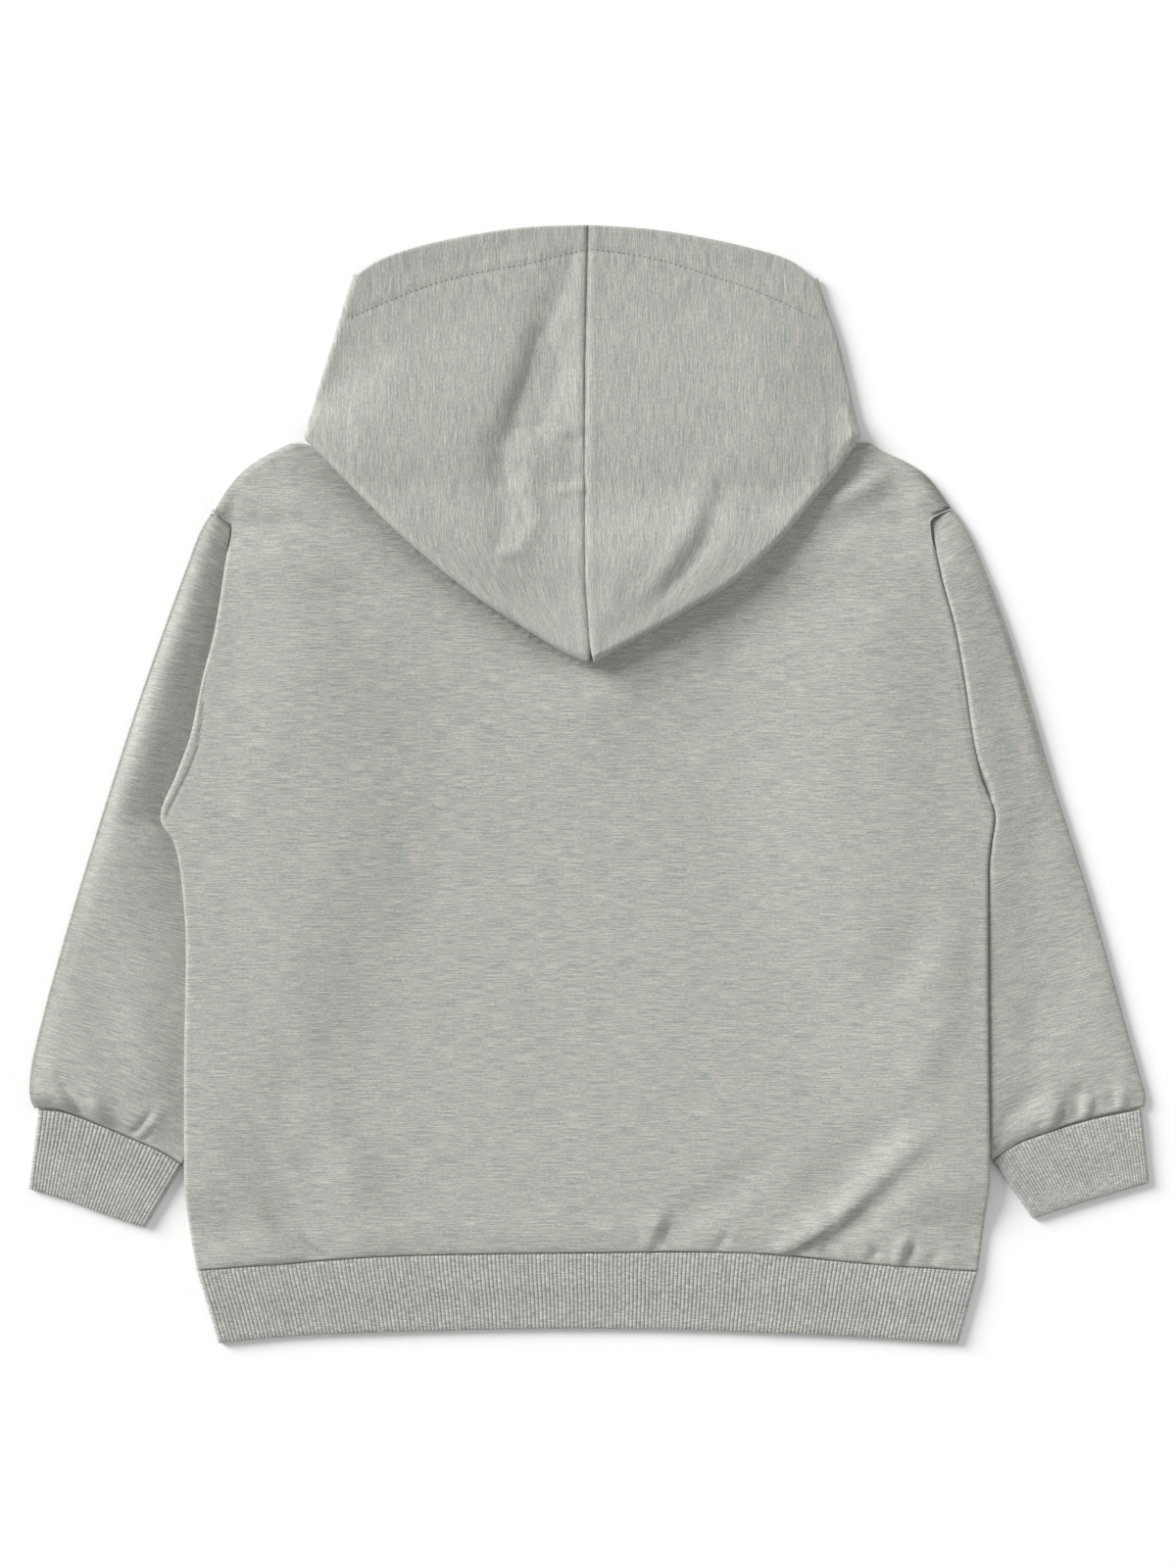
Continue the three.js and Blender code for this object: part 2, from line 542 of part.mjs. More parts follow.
/** Rib band laid flat as a closed ring, between a seam above and a hem below, both in the plane. */
function ribBand(seam, hem, ribs, facing) {
  const ribColumns = 2 * ribs;
  const plainColumns = 10;
  const seamCurve = planCurve(seam);
  const hemCurve = planCurve(hem);
  const isRib = [];
  const grid = [0, 1].map((down) => {
    const place = (t) => seamCurve.getPointAt(t).lerp(hemCurve.getPointAt(t), down);
    const ends = [place(0), place(1)];
    const across = new THREE.Vector3().subVectors(ends[1], ends[0]);
    const margin = FOLD_INSET / across.length();
    const inside = across.clone().normalize();
    const ribbed = evenStations(margin, 1 - margin, ribColumns - 1).slice(0, -1);
    const plain = evenStations(1 - margin, margin, plainColumns).slice(0, -1);
    const upper = ribbed.map((t) => place(t).setZ(BACK_LEVEL));
    const lower = plain.map((t) => place(t).setZ(FLOOR_LEVEL));
    const right = foldedEdge(ends[1], inside.clone().negate(), BACK_LEVEL, FLOOR_LEVEL);
    const left = foldedEdge(ends[0], inside, BACK_LEVEL, FLOOR_LEVEL).reverse();
    isRib.length = 0;
    isRib.push(...upper.map((_, k) => k % 2 === 0));
    return [...upper, ...right, ...lower, ...left];
  });
  const relief = (j, i) => (isRib[i] ? RIB_HEIGHT : 0);
  return clothWall(grid, { closed: true, relief, facing });
}

/** Waistband, a rib tube laid flat below the waist seam. */
function waistband() {
  const seam = WAIST_SEAM.map(({ x, y }) => ({ x, y: y - SEAM_GAP }));
  return ribBand(seam, WAISTBAND_HEM, WAISTBAND_RIBS, -1);
}

/** Cuff, a rib tube laid flat at the end of a sleeve. */
function cuff(side) {
  const seam = CUFF_SEAM[side].map(({ x, y }) => ({ x, y: y - 2 * SEAM_GAP }));
  return ribBand(seam, CUFF_HEM[side], CUFF_RIBS[side], side === 'left' ? 1 : -1);
}

/** Share of the hood's rise from the surface beside the neck to its place over the back panel. */
function hoodRise(x, y, toSide) {
  const ramp = lerp(HOOD_NECK_RAMP, HOOD_CORNER_RAMP, toSide);
  return smoothstep(readTable(BACK_NECK, 'x', x, 'y') + ramp - y, 0, ramp);
}

/** Half of the hood: crown on top, folded at its side to the front and at its tip to the nape. */
function hoodHalf(side) {
  const inward = side === 'left' ? 1 : -1;
  const sideFold = planCurve(HOOD_SIDE_FOLD[side]);
  const lowerFold = planCurve(HOOD_LOWER_FOLD[side]);
  const neckFront = planCurve(HOOD_NECK_FRONT[side]);
  const neckBack = planCurve(HOOD_NECK_BACK[side]);
  const hem = planCurve(HOOD_HEM[side]);
  const seamTip = HOOD_SEAM.at(-1);
  const seamPlace = (s) => {
    const y = lerp(HOOD_SEAM[0].y, seamTip.y + HOOD_TIP_TURN, s);
    return new THREE.Vector3(readTable(HOOD_SEAM, 'y', y, 'x') - inward * SEAM_GAP / 2, y, 0);
  };
  const edgeAt = (s) => {
    const onSide = s <= HOOD_CORNER;
    const curve = onSide ? sideFold : lowerFold;
    const share = onSide ? s / HOOD_CORNER : (s - HOOD_CORNER) / (1 - HOOD_CORNER);
    const tangent = curve.getTangentAt(share);
    const normal = new THREE.Vector3(-tangent.y * inward, tangent.x * inward, 0);
    const toCorner = 1 - smoothstep(Math.abs(s - HOOD_CORNER), 0, 0.03);
    normal.lerp(new THREE.Vector3(inward, 0.1, 0), toCorner);
    normal.lerp(new THREE.Vector3(0, 1, 0), smoothstep(s, 0.95, 1)).normalize();
    return { at: curve.getPointAt(share), inward: normal };
  };
  const neckAt = (s) => (s <= HOOD_CORNER
    ? neckFront.getPointAt(1 - Math.min(s / HOOD_FLAT_END, 1))
    : neckBack.getPointAt((s - HOOD_CORNER) / (1 - HOOD_CORNER)));
  const topShares = evenStations(0, 1, 11);
  const underShares = evenStations(0, 1, 6);
  const grid = HOOD_ROWS.map((s) => {
    const edge = edgeAt(s);
    const start = seamPlace(s);
    const end = edge.at.clone().addScaledVector(edge.inward, FOLD_INSET);
    const rise = smoothstep(s, HOOD_FLAT_END, HOOD_CORNER);
    const hemBow = (share) => {
      const bow = hem.getPointAt(share).sub(hem.getPointAt(0).lerp(hem.getPointAt(1), share));
      return bow.multiplyScalar((1 - s) ** HEM_BOW_POWER);
    };
    const crown = [0, ...topShares.slice(0, -1)].map((share) => {
      const point = start.clone().lerp(end, share).add(hemBow(share));
      const over = hoodRise(point.x, point.y, share ** 3);
      const body = backHeight(point.x, Math.min(point.y, CROWN_ON_BACK_Y)) + 2 * LAYER_STEP;
      const fromFold = Math.hypot(point.x - end.x, point.y - end.y);
      const loft = HOOD_LOFT * smoothstep(fromFold, 0, HOOD_FULL_FROM_FOLD) * smoothstep(s, 0, 0.3);
      const folds = foldHeight(HOOD_FOLDS, point.x, point.y) * smoothstep(fromFold, 2, 25);
      const sag = HOOD_SAG * Math.cos((Math.PI / 2) * share) * (1 - smoothstep(s, 0.05, 0.4));
      return point.setZ(lerp(BACK_LEVEL, body, over) + loft + folds - sag);
    });
    const onBack = backHeight(end.x, Math.min(end.y, NAPE_Y)) + 2 * LAYER_STEP;
    const upper = lerp(BACK_LEVEL, onBack, rise);
    const turn = foldedEdge(edge.at, edge.inward, upper, upper - LAYER_STEP);
    const neck = neckAt(s);
    const under = underShares.map((share) => {
      const point = turn.at(-1).clone().lerp(neck, share);
      const height = backHeight(point.x, Math.min(point.y, NAPE_Y)) + LAYER_STEP;
      return point.setZ(lerp(FLOOR_LEVEL, height, rise));
    });
    return [...crown, ...turn, ...under];
  });
  return clothWall(grid, { facing: inward });
}

const MARL_GREY = 0xb2b3ab;
const RIB_GREY = 0xababa5;

/** Mesh of one piece of cloth. */
function piece(name, geometry, color) {
  const material = new THREE.MeshStandardMaterial({ color, roughness: 0.95, metalness: 0 });
  const mesh = new THREE.Mesh(geometry, material);
  mesh.name = name;
  return mesh;
}

const hoodie = new THREE.Group();
hoodie.name = 'hoodie';
hoodie.add(piece('front_panel', frontPanel(), MARL_GREY));
hoodie.add(piece('back_panel', backPanel(), MARL_GREY));
hoodie.add(piece('waistband', waistband(), RIB_GREY));
for (const side of ['left', 'right']) {
  hoodie.add(piece(`sleeve_${side}`, sleeve(side), MARL_GREY));
  hoodie.add(piece(`cuff_${side}`, cuff(side), RIB_GREY));
  hoodie.add(piece(`hood_${side}`, hoodHalf(side), MARL_GREY));
}

export default hoodie;
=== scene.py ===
"""Looks of a toddler's hoodie laid flat: cloth pieces, rib bands, stitches, soft light and camera.

Tables and sizes are in millimetres, with X across, Y from hem to hood and Z up from the surface
that the garment lies on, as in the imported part. Meshes are made in metres.
"""

import logging
import math
from dataclasses import dataclass, field
from enum import Enum
from functools import cached_property

import bmesh
import bpy
import numpy as np
from mathutils import Matrix, Vector, noise
from mathutils.bvhtree import BVHTree


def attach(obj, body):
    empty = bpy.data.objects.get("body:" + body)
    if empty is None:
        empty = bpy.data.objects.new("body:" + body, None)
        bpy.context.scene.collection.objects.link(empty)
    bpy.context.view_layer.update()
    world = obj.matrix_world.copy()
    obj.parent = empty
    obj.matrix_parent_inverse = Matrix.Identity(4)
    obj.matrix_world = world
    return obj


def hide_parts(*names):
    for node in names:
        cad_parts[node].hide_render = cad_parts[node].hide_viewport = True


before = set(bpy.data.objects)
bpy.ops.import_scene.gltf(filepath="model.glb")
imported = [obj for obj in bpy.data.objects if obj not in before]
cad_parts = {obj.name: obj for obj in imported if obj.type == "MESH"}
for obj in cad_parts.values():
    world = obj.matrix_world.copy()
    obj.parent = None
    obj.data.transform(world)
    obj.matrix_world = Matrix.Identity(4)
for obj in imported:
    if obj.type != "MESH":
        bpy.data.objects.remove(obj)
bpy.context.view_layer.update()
LOG = logging.getLogger("hoodie")

Rows = tuple[tuple[float, float], ...]
Colour = tuple[float, float, float]
Array = np.ndarray
Socket = bpy.types.NodeSocket
Material = bpy.types.Material
Piece = bpy.types.Object

# Layers of cloth
MM = 0.001
WALL = 1.6
SEAM_GAP = 0.3
LAYER_STEP = WALL + SEAM_GAP
FLOOR_LEVEL = WALL / 2
BACK_LEVEL = FLOOR_LEVEL + LAYER_STEP
FOLD_RADIUS = LAYER_STEP / 2
FOLD_INSET = WALL / 2 + FOLD_RADIUS

# The body's sides over the sleeves
SIDE_LIFT = 4.3
FRONT_LIFT_SHARE = 0.92
BACK_LIFT_START = 126.0
FRONT_LIFT_START = 122.5
SIDE_MARGIN = 10.0
SIDE_RAMP = 64.0
LIFT_END = (186, 214)

# Fullness, and the distances or heights over which it sets in
BODY_LOFT = 1.3
SHOULDER_RISE = 9.5
SHOULDER_EDGE = (112, 118)
HOOD_LOFT = 2.8
HOOD_BULK = 5.4
HOOD_BULK_LEFT = 0.4
HOOD_BULK_REACH = 34.0
HOOD_SAG = 1.2
HOOD_DIP = (-3.4, -1.6)
HEM_BROW = 0.7
SIDE_EASE = (4, 45)
WAIST_EASE = (0, 16)
TOP_EASE = (0, 30)
HOOD_TURN = (-40, 30)
NAPE_LEVEL = 140.0
SHOULDER_LEVEL = 156.0

# Painted shade beside the hood's lower edge and in tucks, from 0 to 1, and how far the darkening
# of tucks and seams reaches
LEFT_PAINTED_SHADE = 0.62
RIGHT_PAINTED_SHADE = 0.12
PINCH_PAINTED_SHADE = 0.6
PINCH_REACH = 1.0
SEAM_REACH = 1.1


class Side(Enum):
    """The garment's sides, as seen in the photograph."""

    LEFT = "left"
    RIGHT = "right"

    @property
    def inward(self) -> float:
        """Direction in X from this side to the middle."""
        return 1.0 if self is Side.LEFT else -1.0


def smoothstep(value: Array, low: float, high: float) -> Array:
    """Rise from 0 at low to 1 at high with soft ends."""
    t = np.clip((np.asarray(value, float) - low) / (high - low), 0.0, 1.0)
    return t * t * (3.0 - 2.0 * t)


def between(start: Array, end: Array, share: Array) -> Array:
    """Value at a share of the way from start to end."""
    return start + (end - start) * share


def bell(distance: Array, reach: float) -> Array:
    """Fall softly from 1 at no distance to about a third at the reach."""
    return np.exp(-((distance / reach) ** 2))


@dataclass(frozen=True)
class PlanLine:
    """Smooth line in the plane of the garment through a short table of points.

    Attributes:
        rows: The points, (x, y) in millimetres.
    """

    rows: Rows

    def _read(self, key: int, at: Array) -> Array:
        """Reads one column at values of the other, on a monotone curve.

        Args:
            key: Column that at belongs to, 0 for x or 1 for y.
            at: Values of that column.

        Returns:
            The other column's values.
        """
        order = sorted(self.rows, key=lambda row: row[key])
        keys = np.array([row[key] for row in order])
        values = np.array([row[1 - key] for row in order])
        slope = np.diff(values) / np.diff(keys)
        product = slope[:-1] * slope[1:]
        total = np.where(product > 0, slope[:-1] + slope[1:], 1.0)
        inner = np.where(product > 0, 2.0 * product / total, 0.0)
        tangent = np.concatenate(([slope[0]], inner, [slope[-1]]))
        where = np.clip(at, keys[0], keys[-1])
        k = np.clip(np.searchsorted(keys, where) - 1, 0, len(slope) - 1)
        span = keys[k + 1] - keys[k]
        t = (where - keys[k]) / span
        pull = span * (t * (1 - t) ** 2 * tangent[k] - t * t * (1 - t) * tangent[k + 1])
        return between(values[k], values[k + 1], t * t * (3 - 2 * t)) + pull

    def x_at(self, y: Array) -> Array:
        """The line's x at a height y."""
        return self._read(1, y)

    def y_at(self, x: Array) -> Array:
        """The line's y at a place x."""
        return self._read(0, x)

    @cached_property
    def _dense(self) -> tuple[Array, Array]:
        """Many points of a centripetal curve through the rows, and the length up to each.

        Returns:
            The points and the lengths.
        """
        rows = np.array(self.rows, float)
        ends = (2 * rows[0] - rows[1], 2 * rows[-1] - rows[-2])
        p = np.vstack((ends[0], rows, ends[1]))
        t = np.linspace(0, 1, 60, endpoint=False)[:, None]
        runs = []
        for a, b, c, d in zip(p, p[1:], p[2:], p[3:]):
            gaps = [math.sqrt(np.linalg.norm(q - o)) for o, q in ((a, b), (b, c), (c, d))]
            leave = (b - a) / gaps[0] - (c - a) / (gaps[0] + gaps[1]) + (c - b) / gaps[1]
            reach = (c - b) / gaps[1] - (d - b) / (gaps[1] + gaps[2]) + (d - c) / gaps[2]
            leave, reach = leave * gaps[1], reach * gaps[1]
            bend = (2 * b - 2 * c + leave + reach) * t**3
            runs.append(bend + (3 * c - 3 * b - 2 * leave - reach) * t**2 + leave * t + b)
        points = np.vstack((*runs, rows[-1]))
        length = np.concatenate(([0], np.cumsum(np.linalg.norm(np.diff(points, axis=0), axis=1))))
        return points, length

    @property
    def length(self) -> float:
        """Length of the line."""
        return float(self._dense[1][-1])

    def point(self, share: Array) -> Array:
        """Points at shares of the line's length.

        Args:
            share: Shares of the length, from 0 to 1.

        Returns:
            The places, (x, y).
        """
        points, length = self._dense
        at = np.clip(share, 0, 1) * length[-1]
        return np.stack([np.interp(at, length, points[:, k]) for k in (0, 1)], axis=-1)

    def tangent(self, share: Array) -> Array:
        """Unit directions at shares of the line's length.

        Args:
            share: Shares of the length, from 0 to 1.

        Returns:
            The directions, (x, y).
        """
        step = 0.004
        run = self.point(np.minimum(share + step, 1)) - self.point(np.maximum(share - step, 0))
        return run / np.linalg.norm(run, axis=-1, keepdims=True)

    def bow(self, share: Array) -> Array:
        """How far the line stands off the straight line between its ends."""
        ends = self.point(np.array([0.0, 1.0]))
        return self.point(share) - between(ends[0], ends[1], np.asarray(share)[..., None])

    def near(self, x: Array, y: Array) -> tuple[Array, Array, Array]:
        """Finds the nearest place on the straight runs between the rows.

        Args:
            x: Places to measure from.
            y: The same places' heights.

        Returns:
            The distance, the side (1 to the left of the line's run, -1 to its right, and between
            them past its ends), and the share of the way along the line.
        """
        best = np.full(np.shape(x), np.inf)
        side, share = np.zeros_like(best), np.zeros_like(best)
        legs = np.linalg.norm(np.diff(np.array(self.rows), axis=0), axis=1)
        done = 0.0
        for (ax, ay), (bx, by), leg in zip(self.rows, self.rows[1:], legs):
            along = np.clip(((x - ax) * (bx - ax) + (y - ay) * (by - ay)) / leg**2, 0, 1)
            dx, dy = x - ax - along * (bx - ax), y - ay - along * (by - ay)
            distance = np.hypot(dx, dy)
            closer = distance < best
            best = np.where(closer, distance, best)
            sine = ((bx - ax) * dy - (by - ay) * dx) / (leg * np.maximum(distance, 1e-6))
            side = np.where(closer, np.clip(sine, -1, 1), side)
            share = np.where(closer, (done + along * leg) / legs.sum(), share)
            done += leg
        return best, side, share


@dataclass(frozen=True)
class Crease:
    """Soft ridge, or trough where its height is below 0, along a bent line.

    Attributes:
        path: The line, (x, y) in millimetres.
        width: Reach to the left of the line's run.
        height: Height in the middle of the line.
        right: Reach to the right, as a share of the width.
        start: Share of the height at the line's start.
        end: Share of the height at its end.
    """

    path: Rows
    width: float
    height: float
    right: float = 1.0
    start: float = 0.3
    end: float = 0.3

    def at(self, x: Array, y: Array) -> Array:
        """Height that the crease adds at places.

        Args:
            x: Places across the garment.
            y: The same places' heights in the plan.

        Returns:
            Heights, below 0 in a trough.
        """
        distance, side, share = PlanLine(self.path).near(x, y)
        width = self.width * between(self.right, 1.0, (side + 1) / 2)
        fade = 1 - (1 - self.start) * (1 - smoothstep(share, 0, 0.35))
        fade = fade - (1 - self.end) * smoothstep(share, 0.65, 1)
        return self.height * fade * bell(distance, width)


@dataclass(frozen=True)
class Waves:
    """Slow waves of cloth that doesn't lie quite flat.

    Attributes:
        height: Greatest height.
        size: Distance from one wave to the next.
        seed: Third coordinate of the noise, another one for each row.
    """

    height: float
    size: float
    seed: float

    def at(self, x: Array, y: Array) -> Array:
        """Height that the waves add at places.

        Args:
            x: Places across the garment.
            y: The same places' heights in the plan.

        Returns:
            Heights above or below the cloth.
        """
        flat = zip(np.ravel(x) / self.size, np.ravel(y) / self.size)
        heights = [noise.noise(Vector((px, py, self.seed))) for px, py in flat]
        return self.height * np.array(heights).reshape(np.shape(x))


def relief(rows: tuple[Crease | Waves, ...], x: Array, y: Array) -> Array:
    """Height that a table of creases and waves adds at places."""
    return sum((row.at(x, y) for row in rows), np.zeros(np.shape(x)))


def from_seam(path: Rows, width: float, height: float, end: float = 0.2) -> Crease:
    """Crease that starts at its full height in a seam and runs out on open cloth."""
    return Crease(path, width, height, 1.0, 1.0, end)


BODY_SIDE = {
    Side.LEFT: PlanLine((
        (-176.6, 128.3), (-167.4, 121), (-170.2, 103), (-175.3, 71.3), (-181.2, 48.3),
        (-186.3, 23.5), (-193.2, 4.1), (-200.6, -16.1), (-194.6, -26.7), (-191.4, -40),
        (-188.6, -77.3), (-189.5, -138.9), (-189.5, -184), (-187.7, -206.5), (-184, -228.6),
    )),
    Side.RIGHT: PlanLine((
        (171.6, 129.3), (161, 123.3), (164.2, 103), (172.5, 71.3), (176.6, 48.3),
        (180.3, 23.5), (184, 4.1), (190.6, -16.1), (189.1, -26.7), (187.7, -40),
        (187.7, -77.3), (188.1, -138.9), (188.6, -184), (186.3, -206.5), (183.5, -229.1),
    )),
}
BACK_TOP = PlanLine((
    (-176.6, 128.3), (-170.7, 138), (-162.8, 147.2), (-148.6, 156.4), (-138, 160.3),
    (-126, 157.3), (-82.8, 149.5), (0, 144.9), (82.8, 149.5), (120.5, 157.3), (131.6, 160.6),
    (139.8, 156.4), (157.3, 147.2), (165.6, 138), (171.6, 129.3),
))
BACK_NECK = PlanLine(BACK_TOP.rows[4:-4])
FRONT_TOP = PlanLine((
    (-176.6, 128.3), (-170.7, 138), (-162.8, 147.2), (-148.6, 156), (-138, 158.5), (-125, 150),
    (-92, 128), (-46, 113.5), (0, 109.4), (44, 113.5), (88, 128), (119.5, 150),
    (131.6, 158.5), (139.8, 156), (157.3, 147.2), (165.6, 138), (171.6, 129.3),
))
WAIST_SEAM = PlanLine((
    (-184, -228.6), (-137.1, -224.9), (-87.4, -221.7), (0, -220.3), (46, -219.9),
    (82.3, -220.8), (131.6, -225.4), (183.5, -229.1),
))
WAISTBAND_HEM = PlanLine((
    (-173.9, -262.7), (-146.7, -259.9), (-114.1, -258.1), (0, -255.8), (102.6, -258.5),
    (174.3, -262.7),
))
SLEEVE_SEAM = {
    Side.LEFT: PlanLine((
        (-168.7, 121.2), (-169, 116), (-169.8, 110), (-170.4, 100), (-170, 90), (-158, 79),
        (-147, 64), (-139, 40), (-136, 0), (-139, -30), (-150, -70), (-164, -110),
        (-180, -150), (-190.6, -178.5),
    )),
    Side.RIGHT: PlanLine((
        (162.4, 123.4), (162.8, 118), (163.6, 110), (164.4, 100), (164.4, 89), (153, 78),
        (142, 64), (135, 40), (133, 0), (136, -30), (147, -70), (162, -110), (179, -150),
        (190, -176.6),
    )),
}
SLEEVE_EDGE = {
    Side.LEFT: PlanLine((
        (-177.2, 127.4), (-182.2, 119), (-189.1, 101.2), (-199.2, 73.6), (-212.1, 36.8),
        (-224, 0), (-235.5, -36.8), (-246.6, -73.6), (-256.7, -110.4), (-262.3, -136),
        (-262.4, -147.7), (-260.4, -152.6),
    )),
    Side.RIGHT: PlanLine((
        (172.2, 128.3), (178, 119.6), (186.3, 101.2), (196.9, 73.6), (208.4, 36.8), (219, 0),
        (230.9, -36.8), (242, -73.6), (252.1, -110.4), (260, -138), (262.2, -146.5),
        (261.8, -151.8),
    )),
}
CUFF_SEAM = {
    Side.LEFT: PlanLine((
        (-190.6, -178.5), (-202.4, -171.6), (-214.4, -166.5), (-225.9, -161.5),
        (-237.4, -156.9), (-247.9, -153.6), (-258.5, -152.7),
    )),
    Side.RIGHT: PlanLine((
        (190, -176.6), (201.9, -168.8), (211.6, -165.1), (220.8, -161.9), (236.4, -157.3),
        (248.9, -154.6), (260.4, -152.3),
    )),
}
CUFF_HEM = {
    Side.LEFT: PlanLine((
        (-207.9, -208.4), (-222.2, -203.8), (-231.4, -200.6), (-243.3, -196), (-263.1, -190),
    )),
    Side.RIGHT: PlanLine(((208.8, -204.2), (224, -199.2), (238.7, -194.6), (264, -187.2))),
}
HOOD_HEM = {
    Side.LEFT: PlanLine((
        (0, 262.7), (-25.8, 262), (-46, 259.9), (-81, 253), (-100.7, 246.1), (-110.4, 239.7),
    )),
    Side.RIGHT: PlanLine((
        (0, 262.7), (19, 261.8), (38.2, 259.9), (74.5, 253), (97.1, 246.1), (108.1, 237.8),
    )),
}
HOOD_SIDE_FOLD = {
    Side.LEFT: PlanLine((
        (-110.4, 239.7), (-113.6, 230), (-119.1, 211.6), (-124.7, 193.2), (-130.2, 174.8),
        (-133.4, 162.4),
    )),
    Side.RIGHT: PlanLine((
        (108.1, 237.8), (110.4, 230), (116.8, 211.6), (121.4, 193.2), (125.6, 174.8),
        (127.9, 162.8),
    )),
}
HOOD_LOWER_FOLD = {
    Side.LEFT: PlanLine((
        (-133.4, 162.4), (-109.9, 138.5), (-85.1, 114.1), (-53.4, 88.3), (-25.3, 69.9),
        (-11, 61.2), (0.6, 56.1),
    )),
    Side.RIGHT: PlanLine((
        (127.9, 162.8), (117.3, 147.2), (108.6, 136.6), (91.1, 115.5), (68.1, 94.3),
        (48.8, 82.3), (30.8, 71.8), (17, 64.4), (2.2, 56.1),
    )),
}
HOOD_SEAM = PlanLine(((0, 262.7), (-1.4, 170), (-1.4, 100), (0, 78.7), (1.4, 56.1)))
HOOD_NECK_FRONT = {
    Side.LEFT: PlanLine(((-126.4, 159.2), (-92, 131.1), (-46, 115.5), (-1.2, 110.4))),
    Side.RIGHT: PlanLine(((120.6, 159.4), (88, 131.1), (44, 115.5), (1.2, 110.4))),
}
HOOD_NECK_BACK = {
    Side.LEFT: PlanLine(((-126.4, 159.2), (-82.8, 149.5), (-0.15, 144.9))),
    Side.RIGHT: PlanLine(((120.6, 159.4), (82.8, 149.5), (0.15, 144.9))),
}
HOOD_STITCHES = PlanLine((
    (-112, 219), (-82.8, 231.4), (-64.4, 237.4), (-46, 241.5), (-27.6, 244.7), (-9.2, 249.3),
    (0, 251.2), (18.4, 249.3), (36.8, 245.6), (55.2, 239.7), (73.6, 233.7), (92, 225.9),
    (108.5, 218.2),
))
ARMHOLE_SEAM = {
    Side.LEFT: PlanLine((
        (-177.4, 66), (-178.5, 56.6), (-180.8, 42.8), (-181.2, 31.3), (-183.1, 17),
        (-187.2, 6.4), (-193.2, -5.5), (-198.3, -15),
    )),
    Side.RIGHT: PlanLine((
        (171.6, 62), (173.6, 48), (176.8, 30), (179.6, 14), (183.6, -2), (188, -13),
    )),
}

HOOD_OUTLINE = PlanLine((
    *HOOD_LOWER_FOLD[Side.LEFT].rows[:-1], (1.4, 56), *HOOD_LOWER_FOLD[Side.RIGHT].rows[-2::-1],
))

BACK_CREASES = (
    Crease(((-165.1, -151.3), (-152.7, -182.2), (-140.3, -204.7), (-127, -219)), 8, -2.8),
    Crease(((-138, -210.5), (-129, -217.6), (-123, -222.2)), 2.2, -1.9, 1.6, 0.2, 1.0),
    Crease(((-177.6, -87.4), (-165.1, -101.7), (-132.5, -149), (-124.2, -169.7)), 12, -2.4),
    Crease(((-142.6, -132.5), (-118, -172), (-99.4, -206.5)), 13, 2.6),
    Crease(((-160, -190), (-150, -212), (-142, -224)), 9, 1.1, 1.0, 0.3, 0.8),
    Crease(((93.8, -219.4), (104.4, -213.9), (116.8, -206.1), (134.3, -190)), 6, 2.7, 0.45, 1),
    Crease(((128, -195), (134.3, -190), (147.7, -175.7), (161, -162.8)), 9, 1.9, 0.7),
    Crease(((98, -221), (110, -215), (124, -205), (140, -191), (158, -172)), 5, -1.9, 1.4, 1),
    Crease(((84, -207), (110, -190), (140, -165), (156, -145)), 11, -1.4),
    Crease(((131.6, -108.1), (146, -86), (158.2, -63)), 12, -1.4),
    Crease(((158, -100), (166, -82), (172, -60)), 11, 1.4),
    Crease(((150, -150), (163, -120), (172, -95)), 9, 1),
    Crease(((32.7, -219), (44, -205), (67.6, -190), (92, -170)), 8, -1.3, 1.0, 0.9, 0.2),
    from_seam(((33.4, -218.5), (35.6, -212), (38.4, -205)), 2.4, -1.3),
    Crease(((28, -219), (31, -210), (36, -200)), 5, 1.3, 0.7, 1.0, 0.2),
    from_seam(((60.7, -219.5), (62.4, -216), (65.4, -211)), 2.2, -1.1),
    from_seam(((107.4, -222.4), (109.6, -219), (113.2, -215)), 2.2, -1.3),
    from_seam(((132.6, -224.8), (134, -221), (136.4, -217)), 2.2, -1.3),
    from_seam(((149.4, -226.2), (150.6, -221), (154, -214)), 2.4, -1.4),
    from_seam(((145.2, -226), (146.6, -220), (149.6, -212)), 3.2, 1.4),
    from_seam(((160.8, -226.8), (162.6, -222), (166, -218)), 2.2, -1.3),
    Crease(((138, 143.6), (124, 137), (111.8, 129.5)), 5, 2.1, 0.8, 0.8, 0.2),
    Crease(((140, 133), (124, 125), (108.6, 115.5)), 7, -1.9, 1.2, 0.6, 0.2),
    Crease(((129, 157), (124, 151)), 3.5, -2.6, 1.0, 0.9, 0.7),
    Crease(((9, 48), (34, 34), (64, 14)), 16, -1.3),
    Crease(((92, 92), (66, 66), (40, 50), (14, 42)), 12, -1.3),
    Crease(((-92, 92), (-60, 66), (-30, 50), (-8, 42)), 9, -1),
    Crease(((-150, 118), (-140, 60), (-146, -10)), 22, 1),
    Crease(((150, 110), (143, 40), (150, -30)), 22, 0.8),
    Waves(0.45, 62, 3.1),
    Waves(0.2, 27, 8.4),
)
SHOULDER_FOLDS = (
    Crease(((-162.6, 142), (-164.6, 132), (-165.6, 124)), 26, 1.7, 0.07, 0.3, 0.7),
    Crease(((156, 139), (159, 131), (160, 124)), 2.6, 1.6, 3.0, 0.3, 1.0),
)
PINCHES = (
    PlanLine(((-138, -210.5), (-129, -217.6), (-123, -222.2))),
    PlanLine(((95, -219), (104.4, -214.5), (115, -206.5))),
    PlanLine(((34, -217), (36, -212), (38.4, -207))),
    PlanLine(((108, -221.4), (109.6, -219), (112, -216))),
    PlanLine(((133, -223), (134, -221), (135.6, -218))),
    PlanLine(((150, -225), (151, -221), (153, -217))),
)
LEFT_FOLD = PlanLine(((-162.8, 141.5), (-165.3, 130), *BODY_SIDE[Side.LEFT].rows[1:]))
